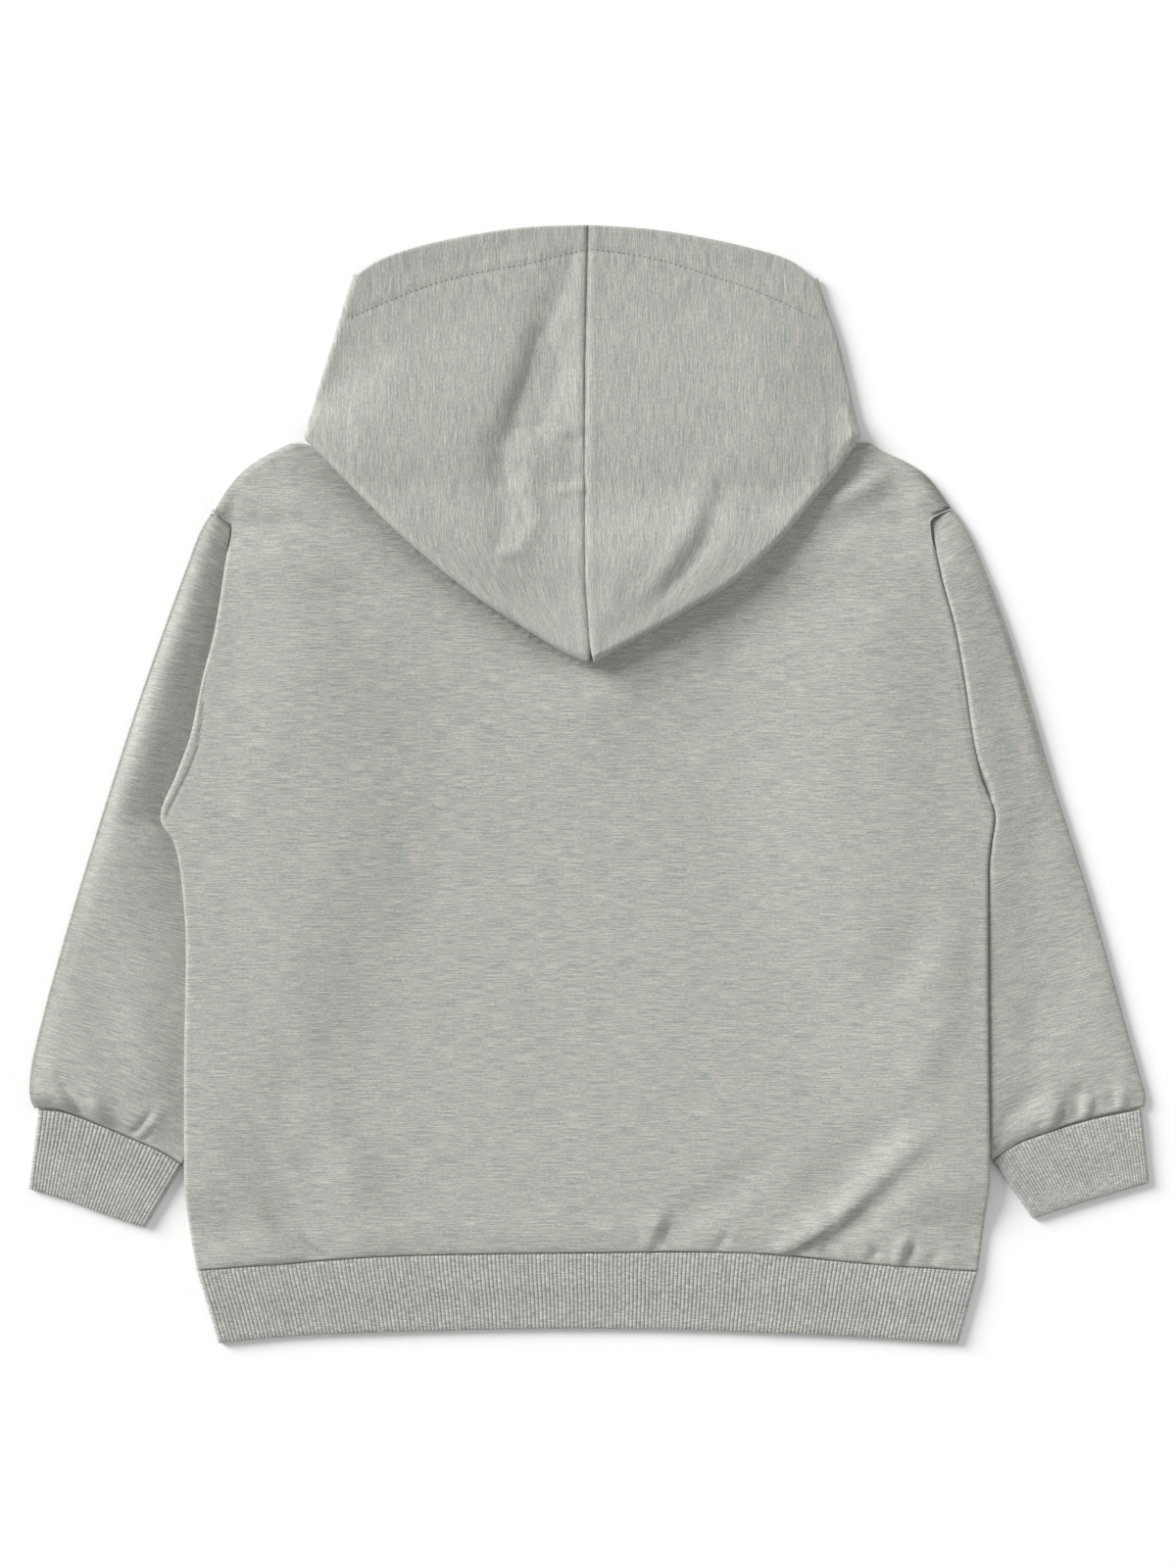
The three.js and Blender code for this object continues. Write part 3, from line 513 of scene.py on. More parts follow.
SLEEVE_CREASES = {
    Side.LEFT: (
        Crease(((-196, 96), (-208, 50), (-222, 0)), 11, 0.8),
        Crease(((-248, -138), (-244, -145), (-240, -150.5), (-238, -156)), 1.9, -1.3, 1.2, 0.4, 1),
        Crease(((-250, -146), (-246, -150), (-243, -155)), 3.2, 1.3, 1.0, 0.4, 1.0),
        Crease(((-233, -146), (-231, -153), (-229, -159)), 4, 1.1, 1.0, 0.4, 1.0),
        Crease(((-224, -148), (-221, -156), (-219, -163)), 4, -0.7, 1.0, 0.4, 1.0),
        Crease(((-205, -154.5), (-209.5, -160), (-214.4, -164.6)), 1.9, -1.5, 0.9, 0.5, 1.0),
        Crease(((-200, -152), (-205, -159), (-211, -166)), 4, 0.8, 0.9, 0.4, 1.0),
        Crease(((-204, -162.4), (-207, -165), (-209.8, -167.6)), 1.8, -1, 1.0, 0.5, 1.0),
        Crease(((-235, -60), (-228, -100), (-216, -128)), 13, -1),
        Crease(((-212, -100), (-205, -130), (-200, -150)), 10, 0.8),
    ),
    Side.RIGHT: (
        Crease(((190, 96), (203, 50), (217, 0)), 11, 0.7),
        from_seam(((220.6, -161.8), (222.4, -157), (224, -152)), 1.9, -1.3, 0.3),
        from_seam(((216.6, -163), (218.4, -157), (220, -151)), 3.4, 1.4, 0.3),
        from_seam(((228.6, -159.4), (229.6, -154), (231, -147)), 2.2, -1.1, 0.3),
        from_seam(((233.4, -158), (234, -153), (234.6, -147)), 3, 1.4, 0.3),
        from_seam(((238.4, -156.6), (238.8, -152), (239, -148)), 2, -0.8, 0.3),
        from_seam(((245.4, -155.2), (246, -150), (246.8, -145)), 2.2, -1.1, 0.3),
        from_seam(((250, -154), (250.6, -148), (251, -142)), 3.2, 1.1, 0.3),
        Crease(((223, -143), (227, -146), (231, -144)), 4.5, -1.4, 1.0, 0.7, 0.7),
        Crease(((191.8, -162), (200, -154), (211, -146)), 6, -1.1, 1.0, 0.8, 0.3),
        Crease(((196, -170), (207, -161), (218, -150), (232, -136)), 6, 1.3, 1.0, 0.8, 0.3),
        Crease(((226, -60), (221, -96), (207, -126)), 13, -0.8),
    ),
}
SLEEVE_WAVES = (Waves(0.5, 40, 5.7), Waves(0.2, 18, 2.2))
RIB_WAVES = Waves(0.25, 30, 4.5)
HOOD_VALLEY = (
    (-18.5, 221), (-20.6, 207), (-23.4, 193), (-28.4, 179.4), (-33.4, 165.6), (-36.6, 152),
)
HOOD_CREASES = (
    Crease(((-6.9, 247), (-11.3, 231.6), (-21, 211)), 3.5, -1.2, 2.2, 0.6, 1.0),
    Crease(HOOD_VALLEY, 17, -5.8, 0.46, 0.2, 0.25),
    Crease(((-21.5, 193), (-25.5, 179), (-30, 165.6), (-32, 152)), 5, 0.9, 0.9, 0.3, 0.6),
    Crease(((-26, 158), (-27.5, 141), (-25, 122), (-30.5, 110)), 5, 1.1, 0.8, 0.6, 0.9),
    Crease(((-41, 157), (-39, 146), (-38, 134)), 3.8, -1.7, 2.6, 0.8, 0.3),
    Crease(((-39.6, 132), (-38.4, 122), (-41.4, 113)), 4, -0.8, 1.3, 0.4, 0.8),
    Crease(((-36, 107.6), (-39.6, 107.4)), 3.0, 0.8, 1.0, 0.9, 0.9),
    Crease(((-6, 167), (-5.5, 156), (-5, 147)), 4, -2.0, 2.6, 0.3, 0.7),
    Crease(((-17, 136.2), (-10, 137.4), (-2.6, 138.4)), 2.6, 0.7, 0.8, 0.2, 1.0),
    Crease(((58, 147), (48.6, 120.7), (36.3, 99.5), (20.4, 80.2)), 7, 1.3, 0.8),
    Crease(((62, 137), (54.5, 113), (41, 94.5), (30, 79)), 6, -1.9, 0.9),
    Crease(((16, 98), (11, 80), (7, 68)), 7, 0.8, 1.0, 0.4, 0.8),
    Crease(((-52, 190), (-62, 150), (-52, 112)), 18, 0.9),
    Crease(((-96, 196), (-100, 168), (-84, 136)), 18, 0.6),
    Crease(((39.8, 215), (47, 222), (53.9, 229)), 6, -0.5),
    Crease(((72, 214), (84, 190), (80, 160)), 20, 0.7),
    Crease(((99, 137), (108, 152)), 6, -0.8),
    Crease(((-60, 244), (-42, 250), (-30, 258)), 6, -0.5),
    Crease(((-34, 100), (-22, 84), (-12, 72)), 8, -0.6),
    Waves(0.5, 44, 6.3),
)


def sleeve_lift(x: Array, y: Array, start: float) -> Array:
    """How far the body rides up over the sleeves, from a line below the shoulders to the cuffs.

    Args:
        x: Places across the garment.
        y: The same places' heights in the plan.
        start: Height in the plan at which the rise sets in.

    Returns:
        Heights above the flat panel.
    """
    past_left = x - SLEEVE_SEAM[Side.LEFT].x_at(y)
    past_right = SLEEVE_SEAM[Side.RIGHT].x_at(y) - x
    nearest = np.minimum(past_left, past_right)
    over = 1 - smoothstep(nearest, SIDE_MARGIN, SIDE_MARGIN + SIDE_RAMP)
    return SIDE_LIFT * over * smoothstep(-y, -start, -98) * (1 - smoothstep(-y, *LIFT_END))


def left_rise(x: Array, y: Array) -> Array:
    """Share of the left sleeve's and shoulder's rise outward from the body's folded edge."""
    reach = between(14.0, 17.0, smoothstep(-y, -30, 60))
    return 1 - np.exp(-((np.maximum(LEFT_FOLD.x_at(y) - x, 0) / reach) ** 1.4))


def back_painted_shade(x: Array, y: Array) -> Array:
    """Painted shade on the back, beside the hood's lower edge and in sharp tucks.

    Args:
        x: Places across the garment.
        y: The same places' heights in the plan.

    Returns:
        Shares from 0 to 1.
    """
    past_hood = HOOD_OUTLINE.near(x, y)[0]
    left = LEFT_PAINTED_SHADE * bell(past_hood, 9) * (1 - smoothstep(x, -25, 5))
    right = RIGHT_PAINTED_SHADE * bell(past_hood, 32) * smoothstep(x, -40, 10)
    shade = (left + right) * smoothstep(BACK_TOP.y_at(x) - y, 2, 12)
    for pinch in PINCHES:
        distance, _, along = pinch.near(x, y)
        fade = smoothstep(along, 0, 0.3) * (1 - 0.6 * smoothstep(along, 0.7, 1))
        shade = np.maximum(shade, PINCH_PAINTED_SHADE * fade * bell(distance, PINCH_REACH))
    return shade


def back_height(x: Array, y: Array) -> Array:
    """Height of the middle of the back panel's wall, with its creases.

    Args:
        x: Places across the garment.
        y: The same places' heights in the plan.

    Returns:
        Heights above the surface.
    """
    from_left = x - BODY_SIDE[Side.LEFT].x_at(y)
    from_right = BODY_SIDE[Side.RIGHT].x_at(y) - x
    from_side = np.maximum(np.minimum(from_left, from_right), 0)
    from_top = BACK_TOP.y_at(x) - y
    from_waist = y - WAIST_SEAM.y_at(x)
    full = smoothstep(from_side, *SIDE_EASE) * smoothstep(from_waist, *WAIST_EASE)
    full = full * smoothstep(from_top, *TOP_EASE)
    past_hood, side, _ = HOOD_OUTLINE.near(x, y)
    past_hood = np.where(side > 0, 0, past_hood)
    bulk = HOOD_BULK * between(HOOD_BULK_LEFT, 1.0, smoothstep(x, *HOOD_TURN))
    bulk = bulk * np.exp(-past_hood / HOOD_BULK_REACH) * smoothstep(from_top, 4, 46)
    dip = between(*HOOD_DIP, smoothstep(x, -20, 20)) * bell(past_hood - 4, 10)
    dip = dip * smoothstep(-side, 0, 0.3)
    brow = HEM_BROW * smoothstep(from_waist, 0, 3) * (1 - smoothstep(from_waist, 6, 20))
    creases = relief(BACK_CREASES, x, y)
    near_edge = smoothstep(from_side, 1, 14) * smoothstep(from_waist, -1.5, 2.5)
    loft = full * (BODY_LOFT + bulk + dip) + near_edge * (creases + brow)
    loft = (loft + np.sqrt(loft**2 + (0.5 * near_edge) ** 2)) / 2
    fold = relief(SHOULDER_FOLDS, x, y) * smoothstep(from_top, 0, 2.5)
    facet = SHOULDER_RISE * left_rise(x, y) * smoothstep(from_top, 0, 3)
    facet = facet * smoothstep(y, *SHOULDER_EDGE)
    lift = sleeve_lift(x, y, BACK_LIFT_START)
    return BACK_LEVEL + lift + facet + np.maximum(loft + fold, 0)


@dataclass
class Cloth:
    """One piece of cloth as rows of points in the middle of its wall.

    Attributes:
        name: Name of the piece.
        points: Rows by columns by (x, y, z), in millimetres, the outer side facing up.
        grain: Rows by columns by (along the streaks, across them), in millimetres.
        seam_and_painted_shade: Rows by columns, how far the colour is darkened: 0 on open cloth,
        more in seams, and painted shade in tucks, between ribs, along folded rims, beside the hood
        and over the hood, and 1 at the darkest.
        ring: Whether the last column is the first one again.
        wall: Thickness.
    """

    name: str
    points: Array
    grain: Array
    seam_and_painted_shade: Array
    ring: bool = False
    wall: float = WALL

    def turned(self) -> "Cloth":
        """The same cloth with its columns in the other order."""
        parts = (self.points[:, ::-1], self.grain[:, ::-1], self.seam_and_painted_shade[:, ::-1])
        return Cloth(self.name, *parts, self.ring, self.wall)

    def lay(self, material: Material) -> Piece:
        """Bends a flat grid to the points and gives it its wall.

        Args:
            material: Finish of the cloth.

        Returns:
            The piece.
        """
        rows, columns = self.points.shape[:2]
        bm = bmesh.new()
        bmesh.ops.create_grid(bm, x_segments=columns - 1, y_segments=rows - 1, size=0.5)
        weave = bm.loops.layers.uv.new("cloth")
        seam_and_painted_shade = bm.verts.layers.float.new("seam_and_painted_shade")
        place = [
            (round((0.5 - vert.co.y) * (rows - 1)), round((vert.co.x + 0.5) * (columns - 1)))
            for vert in bm.verts
        ]
        grain = {vert: self.grain[at] * MM for vert, at in zip(bm.verts, place)}
        for vert, at in zip(bm.verts, place):
            vert.co = self.points[at] * MM
            vert[seam_and_painted_shade] = float(self.seam_and_painted_shade[at])
        for face in bm.faces:
            face.smooth = True
            for loop in face.loops:
                loop[weave].uv = grain[loop.vert]
        if self.ring:
            bmesh.ops.remove_doubles(bm, verts=bm.verts, dist=0.02 * MM)
        piece = as_piece(bm, self.name, material)
        wall = piece.modifiers.new("wall", "SOLIDIFY")
        wall.thickness = self.wall * MM
        wall.offset = 0.0
        wall.use_quality_normals = True
        return piece


def as_piece(bm: bmesh.types.BMesh, name: str, material: Material) -> Piece:
    """Makes a shown piece of a bmesh and frees it.

    Args:
        bm: The shape, in metres, in its place.
        name: Name of the piece.
        material: Its finish.

    Returns:
        The piece.
    """
    mesh = bpy.data.meshes.new(name)
    bm.to_mesh(mesh)
    bm.free()
    mesh.materials.append(material)
    piece = bpy.data.objects.new(name, mesh)
    bpy.context.scene.collection.objects.link(piece)
    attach(piece, "root")
    return piece


def finer_ends(count: int, close: float, steps: int) -> Array:
    """Even stations from 0 to 1 with a few close ones at the end."""
    return np.concatenate((np.linspace(0, 1 - close, count), np.linspace(1 - close, 1, steps)[1:]))


def folded_edge(edge: Array, inside: Array, upper: float, lower: float, steps: int) -> Array:
    """Points of a fold from an upper layer to a lower one, round the garment's outline.

    Args:
        edge: The outline's (x, y).
        inside: Unit direction into the garment.
        upper: Height of the upper layer.
        lower: Height of the lower layer.
        steps: Steps round the fold.

    Returns:
        Points (x, y, z), one more than the steps.
    """
    radius = (upper - lower) / 2
    angle = np.linspace(0, math.pi, steps + 1)
    inset = WALL / 2 + radius * (1 - np.sin(angle))
    plan = edge[None, :] + inside[None, :] * inset[:, None]
    return np.column_stack((plan, (upper + lower) / 2 + radius * np.cos(angle)))


def arc_length(line: Array) -> Array:
    """Length along a row of points up to each of them."""
    return np.concatenate(([0], np.cumsum(np.linalg.norm(np.diff(line, axis=0), axis=1))))


@dataclass
class BodyPanels:
    """Back and front of the body, drop shouldered, lying on each other.

    Attributes:
        rows: Rows of the back panel.
        columns: Columns of the back panel.
        flap: How far the back's rolled side edges reach under.
        front_rows: Rows of the front panel.
        front_columns: Columns of the front panel.
        armhole_end: Darkness of the stretch of armhole seam that shows above each sleeve.
        shoulder: Darkness of the shoulder seam, from 0 to 1.
        shoulder_inset: How far inside the outline the shoulder seam runs.
        seam_depth: Depth of a seam whose darkness is 1.
        armhole: Darkness of each armhole seam beside the sleeve, from 0 to 1.
    """

    rows: int = 172
    columns: int = 250
    flap: float = 0.8
    front_rows: int = 90
    front_columns: int = 96
    armhole_end: float = 0.9
    shoulder: float = 0.45
    shoulder_inset: float = 2.0
    seam_depth: float = 0.45
    armhole: dict[Side, float] = field(default_factory=lambda: {Side.LEFT: 0.9, Side.RIGHT: 0.4})

    def _plan(self, top: PlanLine, down: Array, share: Array, inset: Array) -> tuple[Array, Array]:
        """Places of a panel's points in the plan.

        Args:
            top: Shoulders and neckline.
            down: Share of the way down for each row.
            share: Share of the way across for each column.
            inset: How far the row's ends lie inside the outline.

        Returns:
            The points' x and y, rows by columns.
        """
        ends = []
        for side in Side:
            line = BODY_SIDE[side]
            heights = between(line.rows[0][1], line.rows[-1][1], down)
            ends.append(line.x_at(heights) + side.inward * inset)
        x = between(ends[0][:, None], ends[1][:, None], share[None, :])
        left, right = BODY_SIDE[Side.LEFT].rows, BODY_SIDE[Side.RIGHT].rows
        top_y = top.y_at(between(left[0][0], right[0][0], share))
        waist_y = WAIST_SEAM.y_at(between(left[-1][0], right[-1][0], share)) + SEAM_GAP
        return x, between(top_y[None, :], waist_y[None, :], down[:, None])

    def _roll(self, turn: Array, steps: int) -> tuple[Array, Array]:
        """Steps of an edge that rolls under, for each row.

        Args:
            turn: How far each row turns, from 0 for flat to 1 for half a turn.
            steps: Steps of the turn.

        Returns:
            How far out past the row's end and how far below it each step is.
        """
        bend = np.maximum(turn, 0.001)[:, None]
        chord = 2 * FOLD_RADIUS * np.sin(bend * math.pi / (2 * steps)) / bend
        flap = np.full_like(bend, self.flap / 2)
        lengths = np.hstack((np.repeat(chord, steps, 1), flap, flap))
        angle = bend * math.pi * np.minimum((np.arange(steps + 2) + 0.5) / steps, 1)[None, :]
        out = np.cumsum(lengths * np.cos(angle), axis=1)
        return out, np.cumsum(lengths * np.sin(angle), axis=1)

    def back(self) -> Cloth:
        """The back panel, with its armhole and side edges rolled under.

        Returns:
            Its cloth.
        """
        down = finer_ends(self.rows, 0.014, 6)
        turn = smoothstep(down, 0.045, 0.09)
        out, drop = self._roll(turn, 8)
        room = FOLD_INSET - between(SEAM_GAP, WALL / 2, turn)
        out = out * np.minimum(room / out.max(axis=1), 1)[:, None]
        shares = np.linspace(0, 1, self.columns)
        x, y = self._plan(BACK_TOP, down, shares, np.full(len(down), FOLD_INSET))
        z = back_height(x, y)
        seam = np.zeros_like(x)
        for side in Side:
            distance, _, along = ARMHOLE_SEAM[side].near(x, y)
            depth = self.armhole[side] * smoothstep(along, 0, 0.2)
            seam = np.maximum(seam, depth * bell(distance, 0.75))
            distance = PlanLine(BODY_SIDE[side].rows[:2]).near(x, y)[0]
            seam = np.maximum(seam, self.armhole_end * bell(distance, SEAM_REACH))
        from_shoulder = np.abs(BACK_TOP.y_at(x) - y - self.shoulder_inset)
        seam = np.maximum(seam, self.shoulder * bell(from_shoulder, 0.9))
        z = z - self.seam_depth * seam
        # Painted shade beside the hood and in tucks joins the seams' darkness here
        seam = np.maximum(seam, back_painted_shade(x, y))
        ends = []
        for column, outward, order in ((0, -1, slice(None, None, -1)), (-1, 1, slice(None))):
            across = x[:, [column]] + outward * out
            height = z[:, [column]] - drop
            edge = np.stack((across, np.repeat(y[:, [column]], out.shape[1], 1), height), axis=-1)
            ends.append(edge[:, order])
        points = np.concatenate((ends[0], np.stack((x, y, z), axis=-1), ends[1]), axis=1)
        grain = points[..., :2].copy()
        for rows, line in enumerate(points):
            grain[rows, :, 0] = arc_length(line) - arc_length(line)[-1] / 2
        pad = np.zeros((len(down), out.shape[1]))
        return Cloth("back_panel_cloth", points, grain, np.hstack((pad, seam, pad)))

    def front(self) -> Cloth:
        """The front panel, flat on the surface, with its sides over the sleeves.

        Returns:
            Its cloth.
        """
        down = finer_ends(self.front_rows, 0.02, 3)
        side_inset = FOLD_INSET + self.flap + 2 * SEAM_GAP
        inset = between(2 * SEAM_GAP, side_inset, smoothstep(down, 0.017, 0.045))
        x, y = self._plan(FRONT_TOP, down, np.linspace(0, 1, self.front_columns), inset)
        z = FLOOR_LEVEL + FRONT_LIFT_SHARE * sleeve_lift(x, y, FRONT_LIFT_START)
        points = np.stack((x, y, z), axis=-1)
        return Cloth("front_panel_cloth", points, points[..., :2].copy(), np.zeros_like(x))


@dataclass
class Sleeve:
    """Sleeve, folded at its outer edge and open along the armhole and underarm seams.

    Attributes:
        side: Which sleeve.
        loft: How full the sleeve lies.
        rim: Painted shade along the fold at its outer edge, from 0 to 1.
        rows: Rows along it.
        hidden: Columns under the body.
        seen: Columns that show.
        under: Columns of the lower layer.
        armhole: Depth and darkness of its armhole seam, from 0 to 1.
        cuff: The same for its seam at the cuff.
        seam_depth: Depth of a seam of 1.
        rim_reach: Reach of the painted shade along the rim.
        tuck: How its top leans to the armhole seam, inward and up, to close the gap there.
        hidden_share: Least and greatest share of a row that lies under the body.
        soft_end: Distance from the outer fold in which the cloth drops to it.
        worn: Height that is left below the elbow, as a share of the loft.
    """

    side: Side
    loft: float
    rim: float
    rows: int = 150
    hidden: int = 14
    seen: int = 62
    under: int = 34
    armhole: float = 0.75
    cuff: float = 0.3
    seam_depth: float = 0.5
    rim_reach: float = 5.0
    tuck: tuple[float, float] = (0.56, 0.83)
    hidden_share: tuple[float, float] = (0.12, 0.75)
    soft_end: float = 3.2
    worn: float = 0.45

    def cloth(self) -> Cloth:
        """Lays the sleeve's rows from the armhole to the cuff.

        Returns:
            The sleeve's cloth.
        """
        side, inward = self.side, self.side.inward
        seam, edge_line, end_line = SLEEVE_SEAM[side], SLEEVE_EDGE[side], CUFF_SEAM[side]
        lines, grains, seams = [], [], []
        for v in finer_ends(self.rows, 0.014, 5):
            edge = edge_line.point(v)
            from_end = min(v, 1 - v) * edge_line.length
            seams.append((self.armhole if v < 0.5 else self.cuff) * bell(from_end, SEAM_REACH))
            along = edge_line.tangent(v)
            inside = np.array((-along[1] * inward, along[0] * inward))
            seam_y = between(seam.rows[0][1], seam.rows[-1][1], v)
            start = np.array((seam.x_at(seam_y), seam_y))
            end = edge + inside * FOLD_INSET
            body = BODY_SIDE[side].x_at(seam_y)
            hidden = float(np.clip((body - start[0]) / (end[0] - start[0]), *self.hidden_share))
            shares = np.concatenate((
                np.linspace(0, hidden, self.hidden, endpoint=False),
                np.linspace(hidden, 1, self.seen),
            ))[:-1]
            tuck = between(0.55, 0.95, shares[:, None]) * float(1 - smoothstep(v, 0, 0.03))
            plan = between(start, end, shares[:, None]) + end_line.bow(shares) * v**8
            plan = plan + tuck * np.array((self.tuck[0] * inward, self.tuck[1]))
            height = self._height(plan, shares, hidden, v) - self.seam_depth * seams[-1]
            low = np.linspace(1, 0, self.under + 1)[1:]
            low_plan = between(start, end, low[:, None]) + end_line.bow(low) * v**8
            line = np.vstack((
                np.column_stack((plan, height)),
                folded_edge(edge, inside, BACK_LEVEL, FLOOR_LEVEL, 8),
                np.column_stack((low_plan, np.full(len(low), FLOOR_LEVEL))),
            ))
            lines.append(line)
            across = arc_length(line)
            grains.append(np.column_stack((across, np.full(len(line), v * edge_line.length))))
        points, grain = np.array(lines), np.array(grains)
        seam_and_painted_shade = np.repeat(np.array(seams)[:, None], points.shape[1], axis=1)
        edge = self.hidden + self.seen - 1
        from_edge = np.linalg.norm(points - points[:, [edge]], axis=-1)
        # Painted shade along the outer fold
        seam_and_painted_shade = np.maximum(seam_and_painted_shade, self.rim * bell(from_edge, self.rim_reach))
        cloth = Cloth(f"sleeve_{side.value}_cloth", points, grain, seam_and_painted_shade)
        return cloth.turned() if side is Side.LEFT else cloth

    def _height(self, plan: Array, shares: Array, hidden: float, v: float) -> Array:
        """Heights of one row of the upper layer.

        Args:
            plan: The row's (x, y).
            shares: Share of the way from the inner edge to the fold.
            hidden: The share that lies under the body.
            v: Share of the way down the sleeve.

        Returns:
            Heights of the middle of the wall.
        """
        x, y = plan[:, 0], plan[:, 1]
        seen = np.maximum((shares - hidden) / (1 - hidden), 0)
        past = (BODY_SIDE[self.side].x_at(y) - x) * self.side.inward
        left = (1 - seen) * np.linalg.norm(plan[-1] - plan[0]) * (1 - hidden)
        full = between(self.loft, self.worn * self.loft, smoothstep(v, 0.35, 0.75))
        full = full * (1 - smoothstep(v, 0.965, 1))
        if self.side is Side.LEFT:
            puff = left_rise(x, y)
        else:
            puff = smoothstep(past, -0.5, 1.8) * (1 - 0.66 * smoothstep(past, 0, 24))
            full = full * smoothstep(v, 0.0, 0.11)
        puff = puff * (1 - np.exp(-left / self.soft_end))
        free = smoothstep(past, 1, 8) * smoothstep(1 - seen, 0, 0.08)
        free = free * smoothstep(v, 0.0, 0.06) * (1 - smoothstep(v, 0.99, 1))
        creases = relief(SLEEVE_CREASES[self.side] + SLEEVE_WAVES, x, y)
        return BACK_LEVEL + np.maximum(puff * full + free * creases, 0)


@dataclass
class RibBand:
    """Rib tube laid flat, between a seam above and a hem below.

    Attributes:
        name: Name of the piece.
        seam: Its upper edge.
        hem: Its lower edge, folded cloth.
        ribs: Ribs on the side that shows.
        gap: How far its cloth starts below the seam.
        leftward: Whether its lines run from right to left.
        wall: Thickness of the cloth between ribs.
        rise: Height of a rib on the side that shows.
        under_rise: Height of a rib on the lower side.
        rib_points: Points across a rib on the side that shows.
        under_points: Points across a rib on the lower side.
        wander: How far the ribs bend sideways between seam and hem, as a share of a rib.
        stations: Shares of the way down at which the rings lie, closer by the edges.
    """

    name: str
    seam: PlanLine
    hem: PlanLine
    ribs: int
    gap: float
    leftward: bool = False
    wall: float = 1.3
    rise: float = 0.46
    under_rise: float = 0.35
    rib_points: int = 6
    under_points: int = 4
    wander: float = 0.12
    stations: tuple[float, ...] = (
        0, 0.03, 0.07, 0.13, 0.25, 0.4, 0.55, 0.7, 0.82, 0.9, 0.95, 0.98, 1,
    )

    def cloth(self) -> Cloth:
        """Lays the band's rings from the seam to the hem.

        Returns:
            The band's cloth, a closed ring.
        """
        lines, grains, seam_and_painted_shade_rows = [], [], []
        for share in self.stations:
            line, phase = self._ring(share)
            lines.append(line)
            depth = share * np.linalg.norm(self.seam.point(0.5) - self.hem.point(0.5))
            grains.append(np.column_stack((arc_length(line), np.full(len(line), depth))))
            # Painted shade between the ribs, darkest in the grooves
            seam_and_painted_shade_rows.append((0.5 - 0.5 * np.cos(2 * math.pi * phase)) ** 2)
        tables = (np.array(lines), np.array(grains), np.array(seam_and_painted_shade_rows))
        cloth = Cloth(self.name, *tables, True, self.wall)
        return cloth.turned() if self.leftward else cloth

    def _ring(self, down: float) -> tuple[Array, Array]:
        """One ring of the band.

        Args:
            down: Share of the way from the seam to the hem.

        Returns:
            The ring's points, the last one the first again, and the rib number of each.
        """
        def plan(t: Array) -> Array:
            """Places on this ring at shares of its width."""
            top = self.seam.point(t) - np.array((0.0, self.gap))
            return between(top, self.hem.point(t), down)

        ends = plan(np.array([0.0, 1.0]))
        across = ends[1] - ends[0]
        width = np.linalg.norm(across)
        inside = across / width
        margin = FOLD_INSET / width
        wander = self.wander * math.sin(7 * down) * (1 - abs(2 * down - 1))
        top_t = np.linspace(margin, 1 - margin, self.rib_points * self.ribs + 1)
        low_t = np.linspace(1 - margin, margin, self.under_points * self.ribs + 1)
        top_phase = np.linspace(0, self.ribs, len(top_t)) + wander
        low_phase = np.linspace(self.ribs, 0, len(low_t))
        rim = 0.45 * smoothstep(down, 0.93, 1) + 0.3 * (1 - smoothstep(down, 0, 0.06))
        top_xy = plan(top_t)
        waves = RIB_WAVES.at(top_xy[:, 0], top_xy[:, 1])
        ridge = (0.5 + 0.5 * np.cos(2 * math.pi * top_phase)) ** 0.8
        top_z = BACK_LEVEL - rim + (self.rise * ridge + waves - 0.1) * (1 - 0.3 * rim)
        groove = 0.5 - 0.5 * np.cos(2 * math.pi * low_phase)
        fold_right = folded_edge(ends[1], -inside, BACK_LEVEL - rim, FLOOR_LEVEL, 6)[1:-1]
        fold_left = folded_edge(ends[0], inside, BACK_LEVEL - rim, FLOOR_LEVEL, 6)[::-1]
        line = np.vstack((
            np.column_stack((top_xy, top_z)),
            fold_right,
            np.column_stack((plan(low_t), FLOOR_LEVEL + self.under_rise * groove)),
            fold_left[1:-1],
            np.column_stack((top_xy[:1], top_z[:1])),
        ))
        still = np.zeros(len(fold_right))
        phase = np.concatenate((top_phase, still, low_phase, still, top_phase[:1]))
        return line, phase


